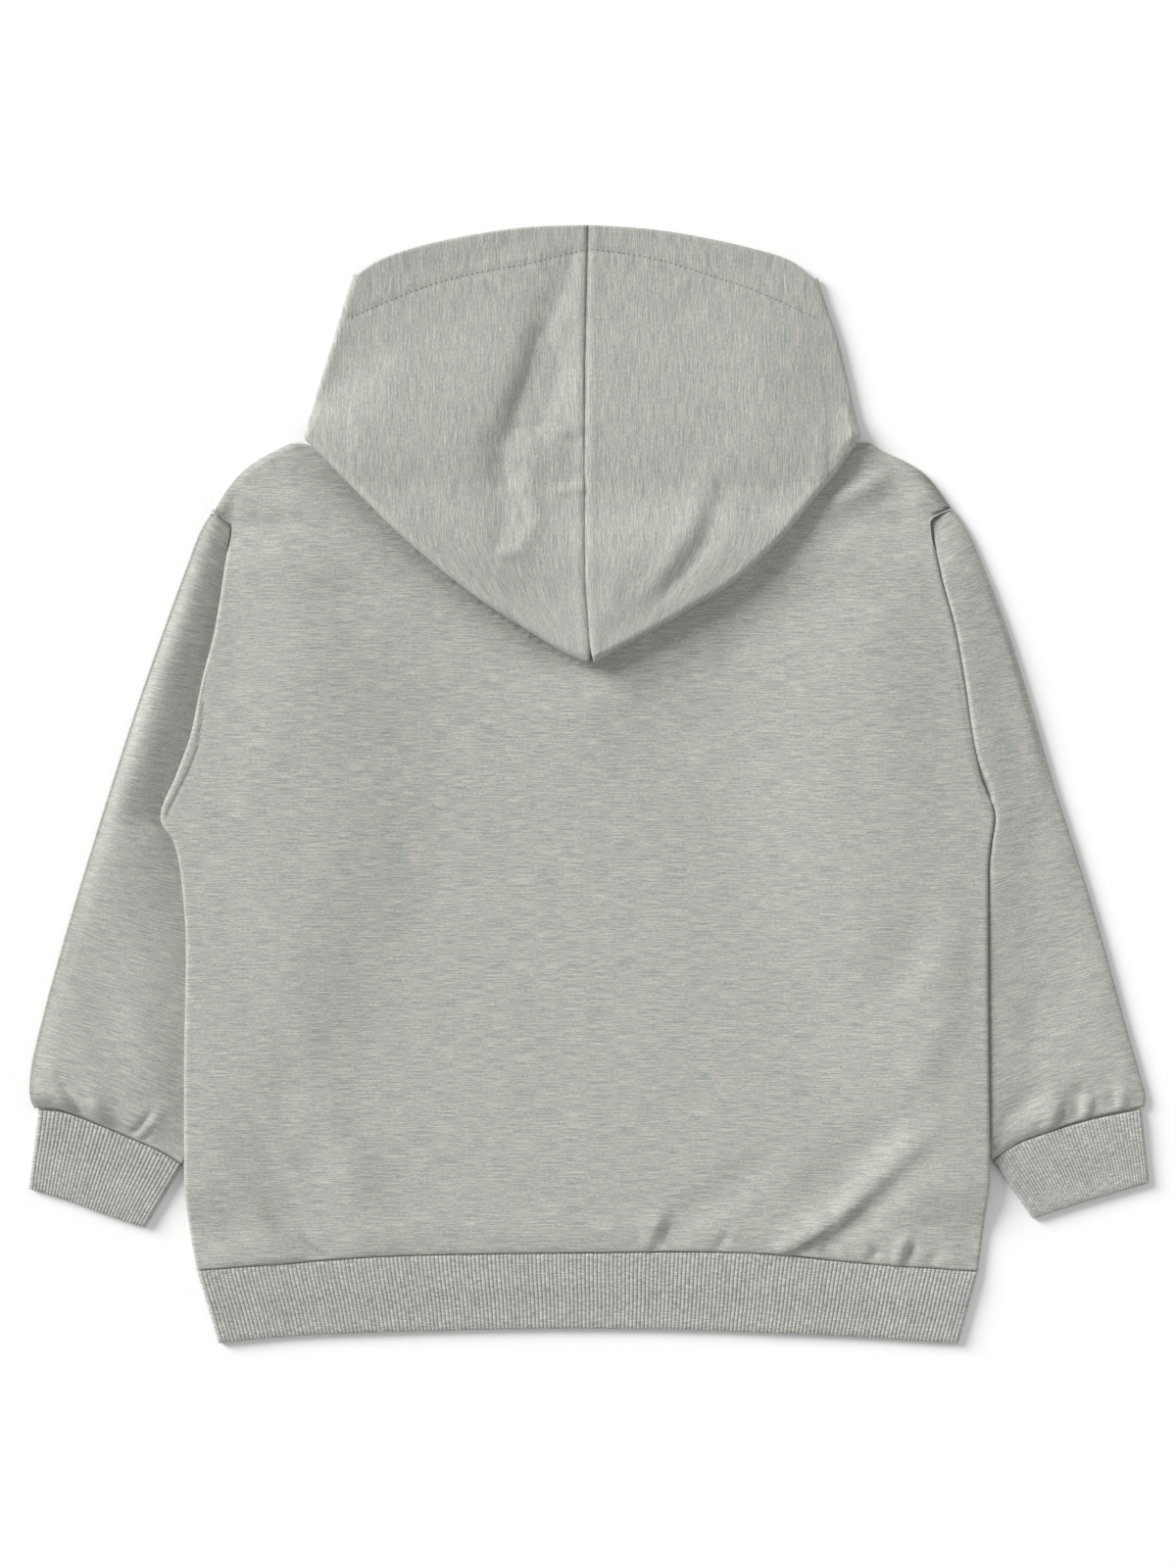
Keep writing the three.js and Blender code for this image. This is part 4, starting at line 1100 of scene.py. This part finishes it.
@dataclass
class HoodHalf:
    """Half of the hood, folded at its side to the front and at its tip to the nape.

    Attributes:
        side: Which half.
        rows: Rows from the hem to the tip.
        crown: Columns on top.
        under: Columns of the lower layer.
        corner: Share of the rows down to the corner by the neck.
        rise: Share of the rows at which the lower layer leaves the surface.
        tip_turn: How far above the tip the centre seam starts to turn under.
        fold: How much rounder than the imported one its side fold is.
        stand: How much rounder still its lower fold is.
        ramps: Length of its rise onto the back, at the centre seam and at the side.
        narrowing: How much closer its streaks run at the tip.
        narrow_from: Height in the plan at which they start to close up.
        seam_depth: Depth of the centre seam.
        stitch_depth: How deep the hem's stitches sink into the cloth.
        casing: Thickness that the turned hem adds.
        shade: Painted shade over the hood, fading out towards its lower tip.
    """

    side: Side
    rows: int = 170
    crown: int = 88
    under: int = 22
    corner: float = 0.34
    rise: float = 0.28
    tip_turn: float = 12.0
    fold: float = 0.6
    stand: float = 2.2
    ramps: tuple[float, float] = (85.0, 26.0)
    narrowing: float = 0.45
    narrow_from: float = 118.0
    seam_depth: float = 0.8
    stitch_depth: float = 0.12
    casing: float = 0.3
    shade: float = 0.13

    def _edge(self, s: float) -> tuple[Array, Array]:
        """The fold at a row: its place and the direction into the hood.

        Args:
            s: Share of the way from the hem to the tip.

        Returns:
            The place and the unit direction.
        """
        inward = self.side.inward
        upper = s <= self.corner
        line = (HOOD_SIDE_FOLD if upper else HOOD_LOWER_FOLD)[self.side]
        share = s / self.corner if upper else (s - self.corner) / (1 - self.corner)
        tangent = line.tangent(share)
        normal = np.array((-tangent[1] * inward, tangent[0] * inward))
        at_corner = 1 - smoothstep(abs(s - self.corner), 0, 0.03)
        normal = between(normal, np.array((inward, 0.1)), at_corner)
        normal = between(normal, np.array((0.0, 1.0)), smoothstep(s, 0.95, 1))
        return line.point(share), normal / np.linalg.norm(normal)

    def _neck(self, s: float) -> Array:
        """Where the hood is sewn to the neckline at a row.

        Args:
            s: Share of the way from the hem to the tip.

        Returns:
            The place, (x, y).
        """
        if s <= self.corner:
            return HOOD_NECK_FRONT[self.side].point(1 - min(s / self.rise, 1))
        return HOOD_NECK_BACK[self.side].point((s - self.corner) / (1 - self.corner))

    def _over(self, x: Array, y: Array, share: Array) -> Array:
        """Share of the hood's rise from the surface beside the neck to its place on the back."""
        ramp = between(*self.ramps, share**3)
        return smoothstep((BACK_NECK.y_at(x) + ramp - y) / ramp, 0, 1)

    def cloth(self) -> Cloth:
        """Lays the half's rows from the hem to the tip.

        Returns:
            The half's cloth.
        """
        lines, grains, seam_and_painted_shade_rows = [], [], []
        for s in np.linspace(0, 1, self.rows):
            line, seam_and_painted_shade = self._row(float(s))
            lines.append(line)
            seam_and_painted_shade_rows.append(seam_and_painted_shade)
            closing = smoothstep(self.narrow_from - line[:, 1], 0, 62)
            across = arc_length(line[:, (0, 2)]) / (1 - self.narrowing * closing)
            grains.append(np.column_stack((line[:, 1], across)))
        name = f"hood_{self.side.value}_cloth"
        cloth = Cloth(name, np.array(lines), np.array(grains), np.array(seam_and_painted_shade_rows))
        return cloth.turned() if self.side is Side.LEFT else cloth

    def _row(self, s: float) -> tuple[Array, Array]:
        """One row of the half, from the centre seam round the fold to the neckline.

        Args:
            s: Share of the way from the hem to the tip.

        Returns:
            The row's points, and how dark the seams and the painted shade make each, from 0 to 1.
        """
        inward = self.side.inward
        at, inside = self._edge(s)
        seam_y = between(HOOD_SEAM.rows[0][1], HOOD_SEAM.rows[-1][1] + self.tip_turn, s)
        start = np.array((HOOD_SEAM.x_at(seam_y) - inward * SEAM_GAP / 2, seam_y))
        rise = float(smoothstep(s, self.rise, self.corner))
        stand = self.stand * float(smoothstep(s, self.rise, self.corner + 0.12)) + self.fold
        end = at + inside * (FOLD_INSET + stand / 2)
        shares = np.linspace(0, 1, self.crown, endpoint=False)
        plan = between(start, end, shares[:, None])
        plan = plan + HOOD_HEM[self.side].bow(shares) * (1 - s) ** 4
        x, y = plan[:, 0], plan[:, 1]
        body = back_height(x, np.minimum(y, NAPE_LEVEL)) + 2 * LAYER_STEP
        from_fold = np.hypot(x - end[0], y - end[1])
        loft = HOOD_LOFT * smoothstep(from_fold, 0, 45) * smoothstep(s, 0, 0.3)
        creases = relief(HOOD_CREASES, x, y) * smoothstep(from_fold, 1, 18)
        sag = HOOD_SAG * np.cos(math.pi / 2 * shares) * (1 - smoothstep(s, 0.05, 0.4))
        over = self._over(x, y, shares)
        z = between(BACK_LEVEL, body, over) + loft + creases - sag
        z = z + stand * (1 - smoothstep(from_fold, 0, 60))
        z, seam_and_painted_shade = self._seams(x, y, z)
        z = np.maximum(z, between(FLOOR_LEVEL + 0.1, body - 0.6, over))
        beside = back_height(end[:1], np.minimum(end[1:], SHOULDER_LEVEL))
        upper_level = float(beside[0]) + 2 * LAYER_STEP
        lower = between(BACK_LEVEL, upper_level, rise) - LAYER_STEP
        turn = folded_edge(at, inside, lower + LAYER_STEP + stand, lower, 8)
        low = np.linspace(0, 1, self.under + 1)[1:]
        low_plan = between(turn[-1, :2], self._neck(s), low[:, None])
        nape = back_height(low_plan[:, 0], np.minimum(low_plan[:, 1], SHOULDER_LEVEL))
        low_z = between(FLOOR_LEVEL, nape + LAYER_STEP, rise)
        line = np.vstack((np.column_stack((plan, z)), turn, np.column_stack((low_plan, low_z))))
        return line, np.concatenate((seam_and_painted_shade, np.zeros(len(turn) + len(low))))

    def _seams(self, x: Array, y: Array, z: Array) -> tuple[Array, Array]:
        """Presses the centre seam and the hem's stitching into the cloth, and lays painted shade
        over the hood.

        Args:
            x: Places across.
            y: The same places' heights in the plan.
            z: Heights of the cloth.

        Returns:
            The new heights, and how dark the seam, the stitching and the painted shade make the
            cloth, from 0 to 1.
        """
        off_centre = np.abs(x - HOOD_SEAM.x_at(y))
        distance, side, _ = HOOD_STITCHES.near(x, y)
        signed = distance * np.where(side == 0, 1, side)
        seam = bell(off_centre, 0.9)
        beside = 0.3 * bell(off_centre - 3.2, 2.2)
        stitched = bell(distance, 0.9)
        casing = self.casing * smoothstep(signed, -1.5, 3.5) + 0.06 * bell(signed + 3, 2)
        z = z + beside + casing - self.seam_depth * seam - self.stitch_depth * stitched
        # Darkness of the centre seam, painted shade along the stitches, and painted shade over the
        # hood
        dark = np.maximum(0.75 * seam**4, 0.04 * stitched)
        return z, dark + self.shade * smoothstep(y, 60, 110)


class NodeBench:
    """Adds and joins the nodes of one material, ready with its shader and output."""

    def __init__(self, name: str) -> None:
        """Starts a material with a shader that is joined to its output.

        Args:
            name: Name of the material.
        """
        self.material = bpy.data.materials.new(name)
        self.material.use_nodes = True
        self.tree = self.material.node_tree
        self.tree.nodes.clear()
        self.shader = self.add("ShaderNodeBsdfPrincipled")
        output = self.add("ShaderNodeOutputMaterial")
        self.join(self.shader.outputs["BSDF"], output.inputs["Surface"])

    def add(self, kind: str, **settings: object) -> bpy.types.Node:
        """Adds a node and sets its properties.

        Args:
            kind: Blender's name for the kind of node.
            settings: Its properties.

        Returns:
            The node.
        """
        node = self.tree.nodes.new(kind)
        for name, value in settings.items():
            setattr(node, name, value)
        return node

    def join(self, source: Socket, target: Socket) -> None:
        """Joins an output to an input."""
        self.tree.links.new(source, target)

    def stretched(self, vector: Socket, along: float, across: float) -> Socket:
        """Grain coordinates scaled so that 1 is a spot's length and height.

        Args:
            vector: Grain coordinates in metres.
            along: Length of a spot along the grain, in millimetres.
            across: Its height across the grain.

        Returns:
            The scaled coordinates.
        """
        mapping = self.add("ShaderNodeMapping")
        mapping.inputs["Scale"].default_value = (1 / (along * MM), 1 / (across * MM), 1.0)
        self.join(vector, mapping.inputs["Vector"])
        return mapping.outputs["Vector"]

    def spots(self, vector: Socket, detail: float, roughness: float = 0.5) -> Socket:
        """Noise with spots about 1 across.

        Args:
            vector: Coordinates.
            detail: How many finer layers it has.
            roughness: How strong they are.

        Returns:
            The noise, about 0.5 in the middle.
        """
        node = self.add("ShaderNodeTexNoise")
        node.inputs["Scale"].default_value = 1.0
        node.inputs["Detail"].default_value = detail
        node.inputs["Roughness"].default_value = roughness
        self.join(vector, node.inputs["Vector"])
        return node.outputs["Fac"]

    def sum(self, *parts: tuple[Socket, float]) -> Socket:
        """Weighted sum of values.

        Args:
            parts: Each value with its weight.

        Returns:
            The sum.
        """
        total = None
        for value, weight in parts:
            node = self.add("ShaderNodeMath", operation="MULTIPLY_ADD")
            self.join(value, node.inputs[0])
            node.inputs[1].default_value = weight
            node.inputs[2].default_value = 0.0
            if total is not None:
                self.join(total, node.inputs[2])
            total = node.outputs[0]
        return total

    def ramp(self, value: Socket, stops: tuple[tuple[float, Colour], ...]) -> Socket:
        """Colour by value.

        Args:
            value: The value.
            stops: Places from 0 to 1, each with its colour.

        Returns:
            The colour.
        """
        node = self.add("ShaderNodeValToRGB")
        elements = node.color_ramp.elements
        while len(elements) < len(stops):
            elements.new(0.5)
        for element, (place, colour) in zip(elements, stops):
            element.position = place
            element.color = (*colour, 1.0)
        self.join(value, node.inputs["Fac"])
        return node.outputs["Color"]

    def shade(self, colour: Socket, share: Socket, tone: Colour) -> Socket:
        """Colour multiplied by a tone where share is 1.

        Args:
            colour: The colour.
            share: How much of the tone is laid on.
            tone: The tone.

        Returns:
            The shaded colour.
        """
        node = self.add("ShaderNodeMix", data_type="RGBA", blend_type="MULTIPLY")
        self.join(share, node.inputs["Factor"])
        self.join(colour, node.inputs[6])
        node.inputs[7].default_value = (*tone, 1.0)
        return node.outputs[2]


@dataclass(frozen=True)
class MarlKnit:
    """Marled sweatshirt knit or rib: cream and blue-grey streaks along the courses.

    Attributes:
        name: Name of the material.
        cool: Colour of the dark yarn.
        middle: Mean colour.
        warm: Colour of the cream yarn.
        streak: Length and height of a streak, in millimetres.
        course: Distance between knitted courses.
        wale: Distance between columns of loops.
        spread: Reach of the colour ramp to each side of its middle; smaller is more contrast.
        roughness: Roughness of the cloth.
        specular: Level of its gloss.
        sheen: Weight and roughness of its sheen.
        relief: Depth of its loops and nap.
        seam_and_painted_shade: Tone that the colour is multiplied by where the cloth's seam
        darkness and painted shade is 1.
    """

    name: str
    cool: Colour
    middle: Colour
    warm: Colour
    streak: tuple[float, float]
    course: float
    wale: float
    spread: float
    seam_and_painted_shade: Colour
    roughness: float = 0.93
    specular: float = 0.2
    sheen: tuple[float, float] = (0.12, 0.6)
    relief: float = 0.35

    def material(self) -> Material:
        """Joins the streaks, threads, patches and specks of the marl over a soft nap.

        Returns:
            The material.
        """
        bench = NodeBench(self.name)
        grain = bench.add("ShaderNodeUVMap", uv_map="cloth").outputs["UV"]
        long, high = self.streak
        streaks = bench.spots(bench.stretched(grain, long, high), 2.0, 0.6)
        threads = bench.spots(bench.stretched(grain, long * 0.4, high * 0.7), 1.0)
        patches = bench.spots(bench.stretched(grain, long * 3, high * 12), 2.0)
        specks = bench.spots(bench.stretched(grain, 1.4, 0.5), 1.0)
        tone = bench.sum((streaks, 0.46), (threads, 0.24), (patches, 0.06), (specks, 0.24))
        stops = (
            (0.5 - self.spread, self.cool),
            (0.5, self.middle),
            (0.5 + self.spread, self.warm),
        )
        colour = bench.ramp(tone, stops)
        # Darkens the colour in seams, and lays painted shade in tucks, between ribs, along folded
        # rims and beside and over the hood
        seam_and_painted_shade = bench.add("ShaderNodeAttribute", attribute_name="seam_and_painted_shade").outputs["Fac"]
        colour = bench.shade(colour, seam_and_painted_shade, self.seam_and_painted_shade)
        bench.join(colour, bench.shader.inputs["Base Color"])
        self._nap(bench, grain, threads)
        bench.shader.inputs["Roughness"].default_value = self.roughness
        bench.shader.inputs["Specular IOR Level"].default_value = self.specular
        bench.shader.inputs["Sheen Weight"].default_value = self.sheen[0]
        bench.shader.inputs["Sheen Roughness"].default_value = self.sheen[1]
        return bench.material

    def _nap(self, bench: NodeBench, grain: Socket, threads: Socket) -> None:
        """Raises the loops, threads and nap of the knit in fine relief.

        Args:
            bench: The material's nodes.
            grain: Grain coordinates in metres.
            threads: Noise of the yarns.
        """
        loops = bench.add("ShaderNodeTexWave", wave_type="BANDS", bands_direction="Y")
        loops.inputs["Scale"].default_value = 0.314
        loops.inputs["Distortion"].default_value = 1.5
        loops.inputs["Detail Scale"].default_value = 0.7
        bench.join(bench.stretched(grain, self.wale, self.course), loops.inputs["Vector"])
        fuzz = bench.spots(bench.stretched(grain, 0.7, 0.5), 3.0, 0.7)
        height = bench.sum((loops.outputs["Fac"], 0.3), (threads, 0.6), (fuzz, 0.9))
        bump = bench.add("ShaderNodeBump")
        bump.inputs["Strength"].default_value = 0.5
        bump.inputs["Distance"].default_value = self.relief * MM
        bench.join(height, bump.inputs["Height"])
        bench.join(bump.outputs["Normal"], bench.shader.inputs["Normal"])


@dataclass(frozen=True)
class SewingThread:
    """Twisted sewing thread, coloured darker than the cloth as painted shade of the stitch line.

    Attributes:
        name: Name of the material.
        dark: Colour between the plies, painted shade there.
        light: Colour on the plies.
    """

    name: str
    dark: Colour
    light: Colour

    def material(self) -> Material:
        """Twists the light and dark of the plies.

        Returns:
            The material.
        """
        bench = NodeBench(self.name)
        place = bench.add("ShaderNodeTexCoord").outputs["Object"]
        plies = bench.spots(bench.stretched(place, 0.5, 0.2), 2.0)
        bench.join(
            bench.ramp(plies, ((0.35, self.dark), (0.65, self.light))),
            bench.shader.inputs["Base Color"],
        )
        bench.shader.inputs["Roughness"].default_value = 0.7
        return bench.material


FLEECE = MarlKnit(
    name="marl_fleece",
    cool=(0.325, 0.332, 0.318),
    middle=(0.434, 0.438, 0.402),
    warm=(0.57, 0.565, 0.5),
    streak=(12.0, 0.44),
    course=0.62,
    wale=0.8,
    spread=0.079,
    seam_and_painted_shade=(0.5, 0.5, 0.49),
)
RIB = MarlKnit(
    name="marl_rib",
    cool=(0.29, 0.305, 0.31),
    middle=(0.43, 0.435, 0.405),
    warm=(0.60, 0.60, 0.53),
    streak=(5.0, 0.6),
    course=0.7,
    wale=0.92,
    spread=0.085,
    seam_and_painted_shade=(0.62, 0.62, 0.62),
)
# Both colours are darker than the cloth: painted shade of the stitches in their line
THREAD = SewingThread(name="sewing_thread", dark=(0.17, 0.175, 0.165), light=(0.3, 0.305, 0.285))


@dataclass
class HoodStitching:
    """Row of stitches that holds the hem of the hood's opening.

    Attributes:
        pitch: Distance from one stitch to the next.
        length: Length of the thread that shows.
        thickness: Thickness of the thread.
        sunk: How far the thread's middle lies below the face of the cloth.
        above: Height from which the cloth is looked for, over all of it.
    """

    pitch: float = 2.5
    length: float = 1.4
    thickness: float = 0.55
    sunk: float = 0.02
    above: float = 40.0

    def build(self, halves: list[Piece], material: Material) -> Piece:
        """Lays the stitches on the hood.

        Args:
            halves: The hood's halves.
            material: Finish of the thread.

        Returns:
            The stitches, as one piece.
        """
        graph = bpy.context.evaluated_depsgraph_get()
        trees = [BVHTree.FromObject(half, graph) for half in halves]
        bm = bmesh.new()
        total = HOOD_STITCHES.length
        for run in np.arange(self.pitch / 2, total - self.pitch / 2, self.pitch):
            at = HOOD_STITCHES.point(run / total)
            heading = HOOD_STITCHES.tangent(run / total)
            above = Vector((at[0], at[1], self.above)) * MM
            hits = [tree.ray_cast(above, Vector((0, 0, -1))) for tree in trees]
            found = [hit for hit in hits if hit[0] is not None]
            if not found:
                continue
            place, normal = max(found, key=lambda hit: hit[0].z)[:2]
            forward = Vector((heading[0], heading[1], 0))
            forward = (forward - normal * forward.dot(normal)).normalized()
            turn = Matrix((forward, normal.cross(forward), normal)).transposed().to_4x4()
            size = (self.length / 2 * MM, self.thickness / 2 * MM, self.thickness / 2 * MM)
            move = Matrix.Translation(place - normal * self.sunk * MM)
            pose = move @ turn @ Matrix.Diagonal((*size, 1.0))
            bmesh.ops.create_uvsphere(bm, u_segments=8, v_segments=5, radius=1.0, matrix=pose)
        for face in bm.faces:
            face.smooth = True
        return as_piece(bm, "hood_hem_stitches", material)


# Name, direction it comes from, width of its source in degrees, watts for each square metre
LIGHTS = (
    ("key", (-0.8, 0.5, 0.42), 28, 4.1),
    ("fill", (0.86, 0.3, 0.5), 60, 0.5),
    ("top", (0.1, -0.2, 1.0), 40, 0.15),
)


@dataclass
class Studio:
    """Pale floor, soft light and the camera that looks straight down.

    Attributes:
        lens: Focal length, in millimetres.
        sensor: Sensor size along the picture's long side.
        view_length: Length of floor along the picture's long side.
        floor: Side of the floor, in metres.
        floor_drop: How far below the garment's underside the floor lies.
        focus: Height of the plane that the view length is measured in.
        surroundings: Strength of the even white light from all round.
    """

    lens: float = 85.0
    sensor: float = 36.0
    view_length: float = 736.0
    floor: float = 8.0
    floor_drop: float = 0.05
    focus: float = 5.0
    surroundings: float = 0.38

    def build(self) -> None:
        """Makes the floor, the lights and the camera."""
        self._floor()
        for name, source, spread, strength in LIGHTS:
            self._light(name, source, spread, strength)
        self._world()
        self._camera()

    def _floor(self) -> None:
        """The floor, plain and pale."""
        bench = NodeBench("pale_floor")
        bench.shader.inputs["Base Color"].default_value = (0.97, 0.97, 0.97, 1)
        bench.shader.inputs["Roughness"].default_value = 0.9
        bm = bmesh.new()
        bmesh.ops.create_grid(bm, x_segments=4, y_segments=4, size=self.floor / 2)
        bmesh.ops.translate(bm, verts=bm.verts, vec=(0, 0, -self.floor_drop * MM))
        mesh = bpy.data.meshes.new("floor")
        bm.to_mesh(mesh)
        bm.free()
        mesh.materials.append(bench.material)
        floor = bpy.data.objects.new("floor", mesh)
        bpy.context.scene.collection.objects.link(floor)

    def _light(self, name: str, source: Colour, spread: float, strength: float) -> None:
        """Adds a soft, even light.

        Args:
            name: Name of the light.
            source: Direction that it comes from.
            spread: How wide its source looks, in degrees.
            strength: Its strength, in watts for each square metre.
        """
        lamp = bpy.data.lights.new(name, "SUN")
        lamp.angle = math.radians(spread)
        lamp.energy = strength
        light = bpy.data.objects.new(name, lamp)
        light.rotation_euler = Vector(source).to_track_quat("Z", "Y").to_euler()
        bpy.context.scene.collection.objects.link(light)

    def _world(self) -> None:
        """Even white surroundings."""
        world = bpy.data.worlds.new("studio")
        world.use_nodes = True
        background = world.node_tree.nodes["Background"]
        background.inputs["Color"].default_value = (1, 1, 1, 1)
        background.inputs["Strength"].default_value = self.surroundings
        bpy.context.scene.world = world

    def _camera(self) -> None:
        """The camera, straight above the middle of the garment."""
        data = bpy.data.cameras.new("camera")
        data.lens = self.lens
        data.sensor_width = self.sensor
        camera = bpy.data.objects.new("camera", data)
        camera.location = (0, 0, (self.view_length * self.lens / self.sensor + self.focus) * MM)
        bpy.context.scene.collection.objects.link(camera)
        bpy.context.scene.camera = camera
        bpy.context.scene.view_settings.view_transform = "Standard"


@dataclass(frozen=True)
class Cut:
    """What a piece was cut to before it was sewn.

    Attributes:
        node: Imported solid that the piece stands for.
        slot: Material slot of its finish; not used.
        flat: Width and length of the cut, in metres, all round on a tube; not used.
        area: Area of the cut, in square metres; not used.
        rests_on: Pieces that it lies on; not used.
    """

    node: str
    slot: str
    flat: tuple[float, float]
    area: float
    rests_on: tuple[str, ...] = ()

    def declare(self, piece: Piece) -> None:
        """Hides the imported solid and logs what the piece stands for.

        Args:
            piece: The piece, in its place.
        """
        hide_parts(self.node)
        LOG.info("%s stands for %s", piece.name, self.node)


def main() -> None:
    """Builds the pieces in order, from the surface up, and reports each one."""
    logging.basicConfig(level=logging.INFO, format="%(message)s")
    fleece, rib, thread = FLEECE.material(), RIB.material(), THREAD.material()
    body = BodyPanels()
    front = Cut("front_panel", "marl_fleece", (0.385, 0.39), 0.128)
    front.declare(body.front().lay(fleece))
    # rim is the painted shade along each sleeve's outer fold
    for side, loft, rim, area in ((Side.LEFT, 9.5, 0.6, 0.0424), (Side.RIGHT, 5.0, 0.12, 0.042)):
        sleeve = Cut(f"sleeve_{side.value}", "marl_fleece", (0.26, 0.305), area)
        sleeve.declare(Sleeve(side, loft, rim).cloth().lay(fleece))
    for side, ribs, area in ((Side.LEFT, 36, 0.0051), (Side.RIGHT, 43, 0.0049)):
        name = f"cuff_{side.value}"
        leftward = side is Side.LEFT
        band = RibBand(f"{name}_cloth", CUFF_SEAM[side], CUFF_HEM[side], ribs, 0.6, leftward)
        Cut(name, "marl_rib", (0.14, 0.037), area).declare(band.cloth().lay(rib))
    waistband = RibBand("waistband_cloth", WAIST_SEAM, WAISTBAND_HEM, 190, 0.3)
    band_cut = Cut("waistband", "marl_rib", (0.73, 0.037), 0.0266)
    band_cut.declare(waistband.cloth().lay(rib))
    back = Cut("back_panel", "marl_fleece", (0.385, 0.39), 0.138, ("front_panel_cloth",))
    back.declare(body.back().lay(fleece))
    halves = []
    for side in Side:
        half = HoodHalf(side).cloth().lay(fleece)
        cut = Cut(f"hood_{side.value}", "marl_fleece", (0.2, 0.235), 0.0322, ("back_panel_cloth",))
        cut.declare(half)
        halves.append(half)
    stitches = HoodStitching().build(halves, thread)
    LOG.info("%s laid", stitches.name)
    Studio().build()


if __name__ == "__main__":
    main()
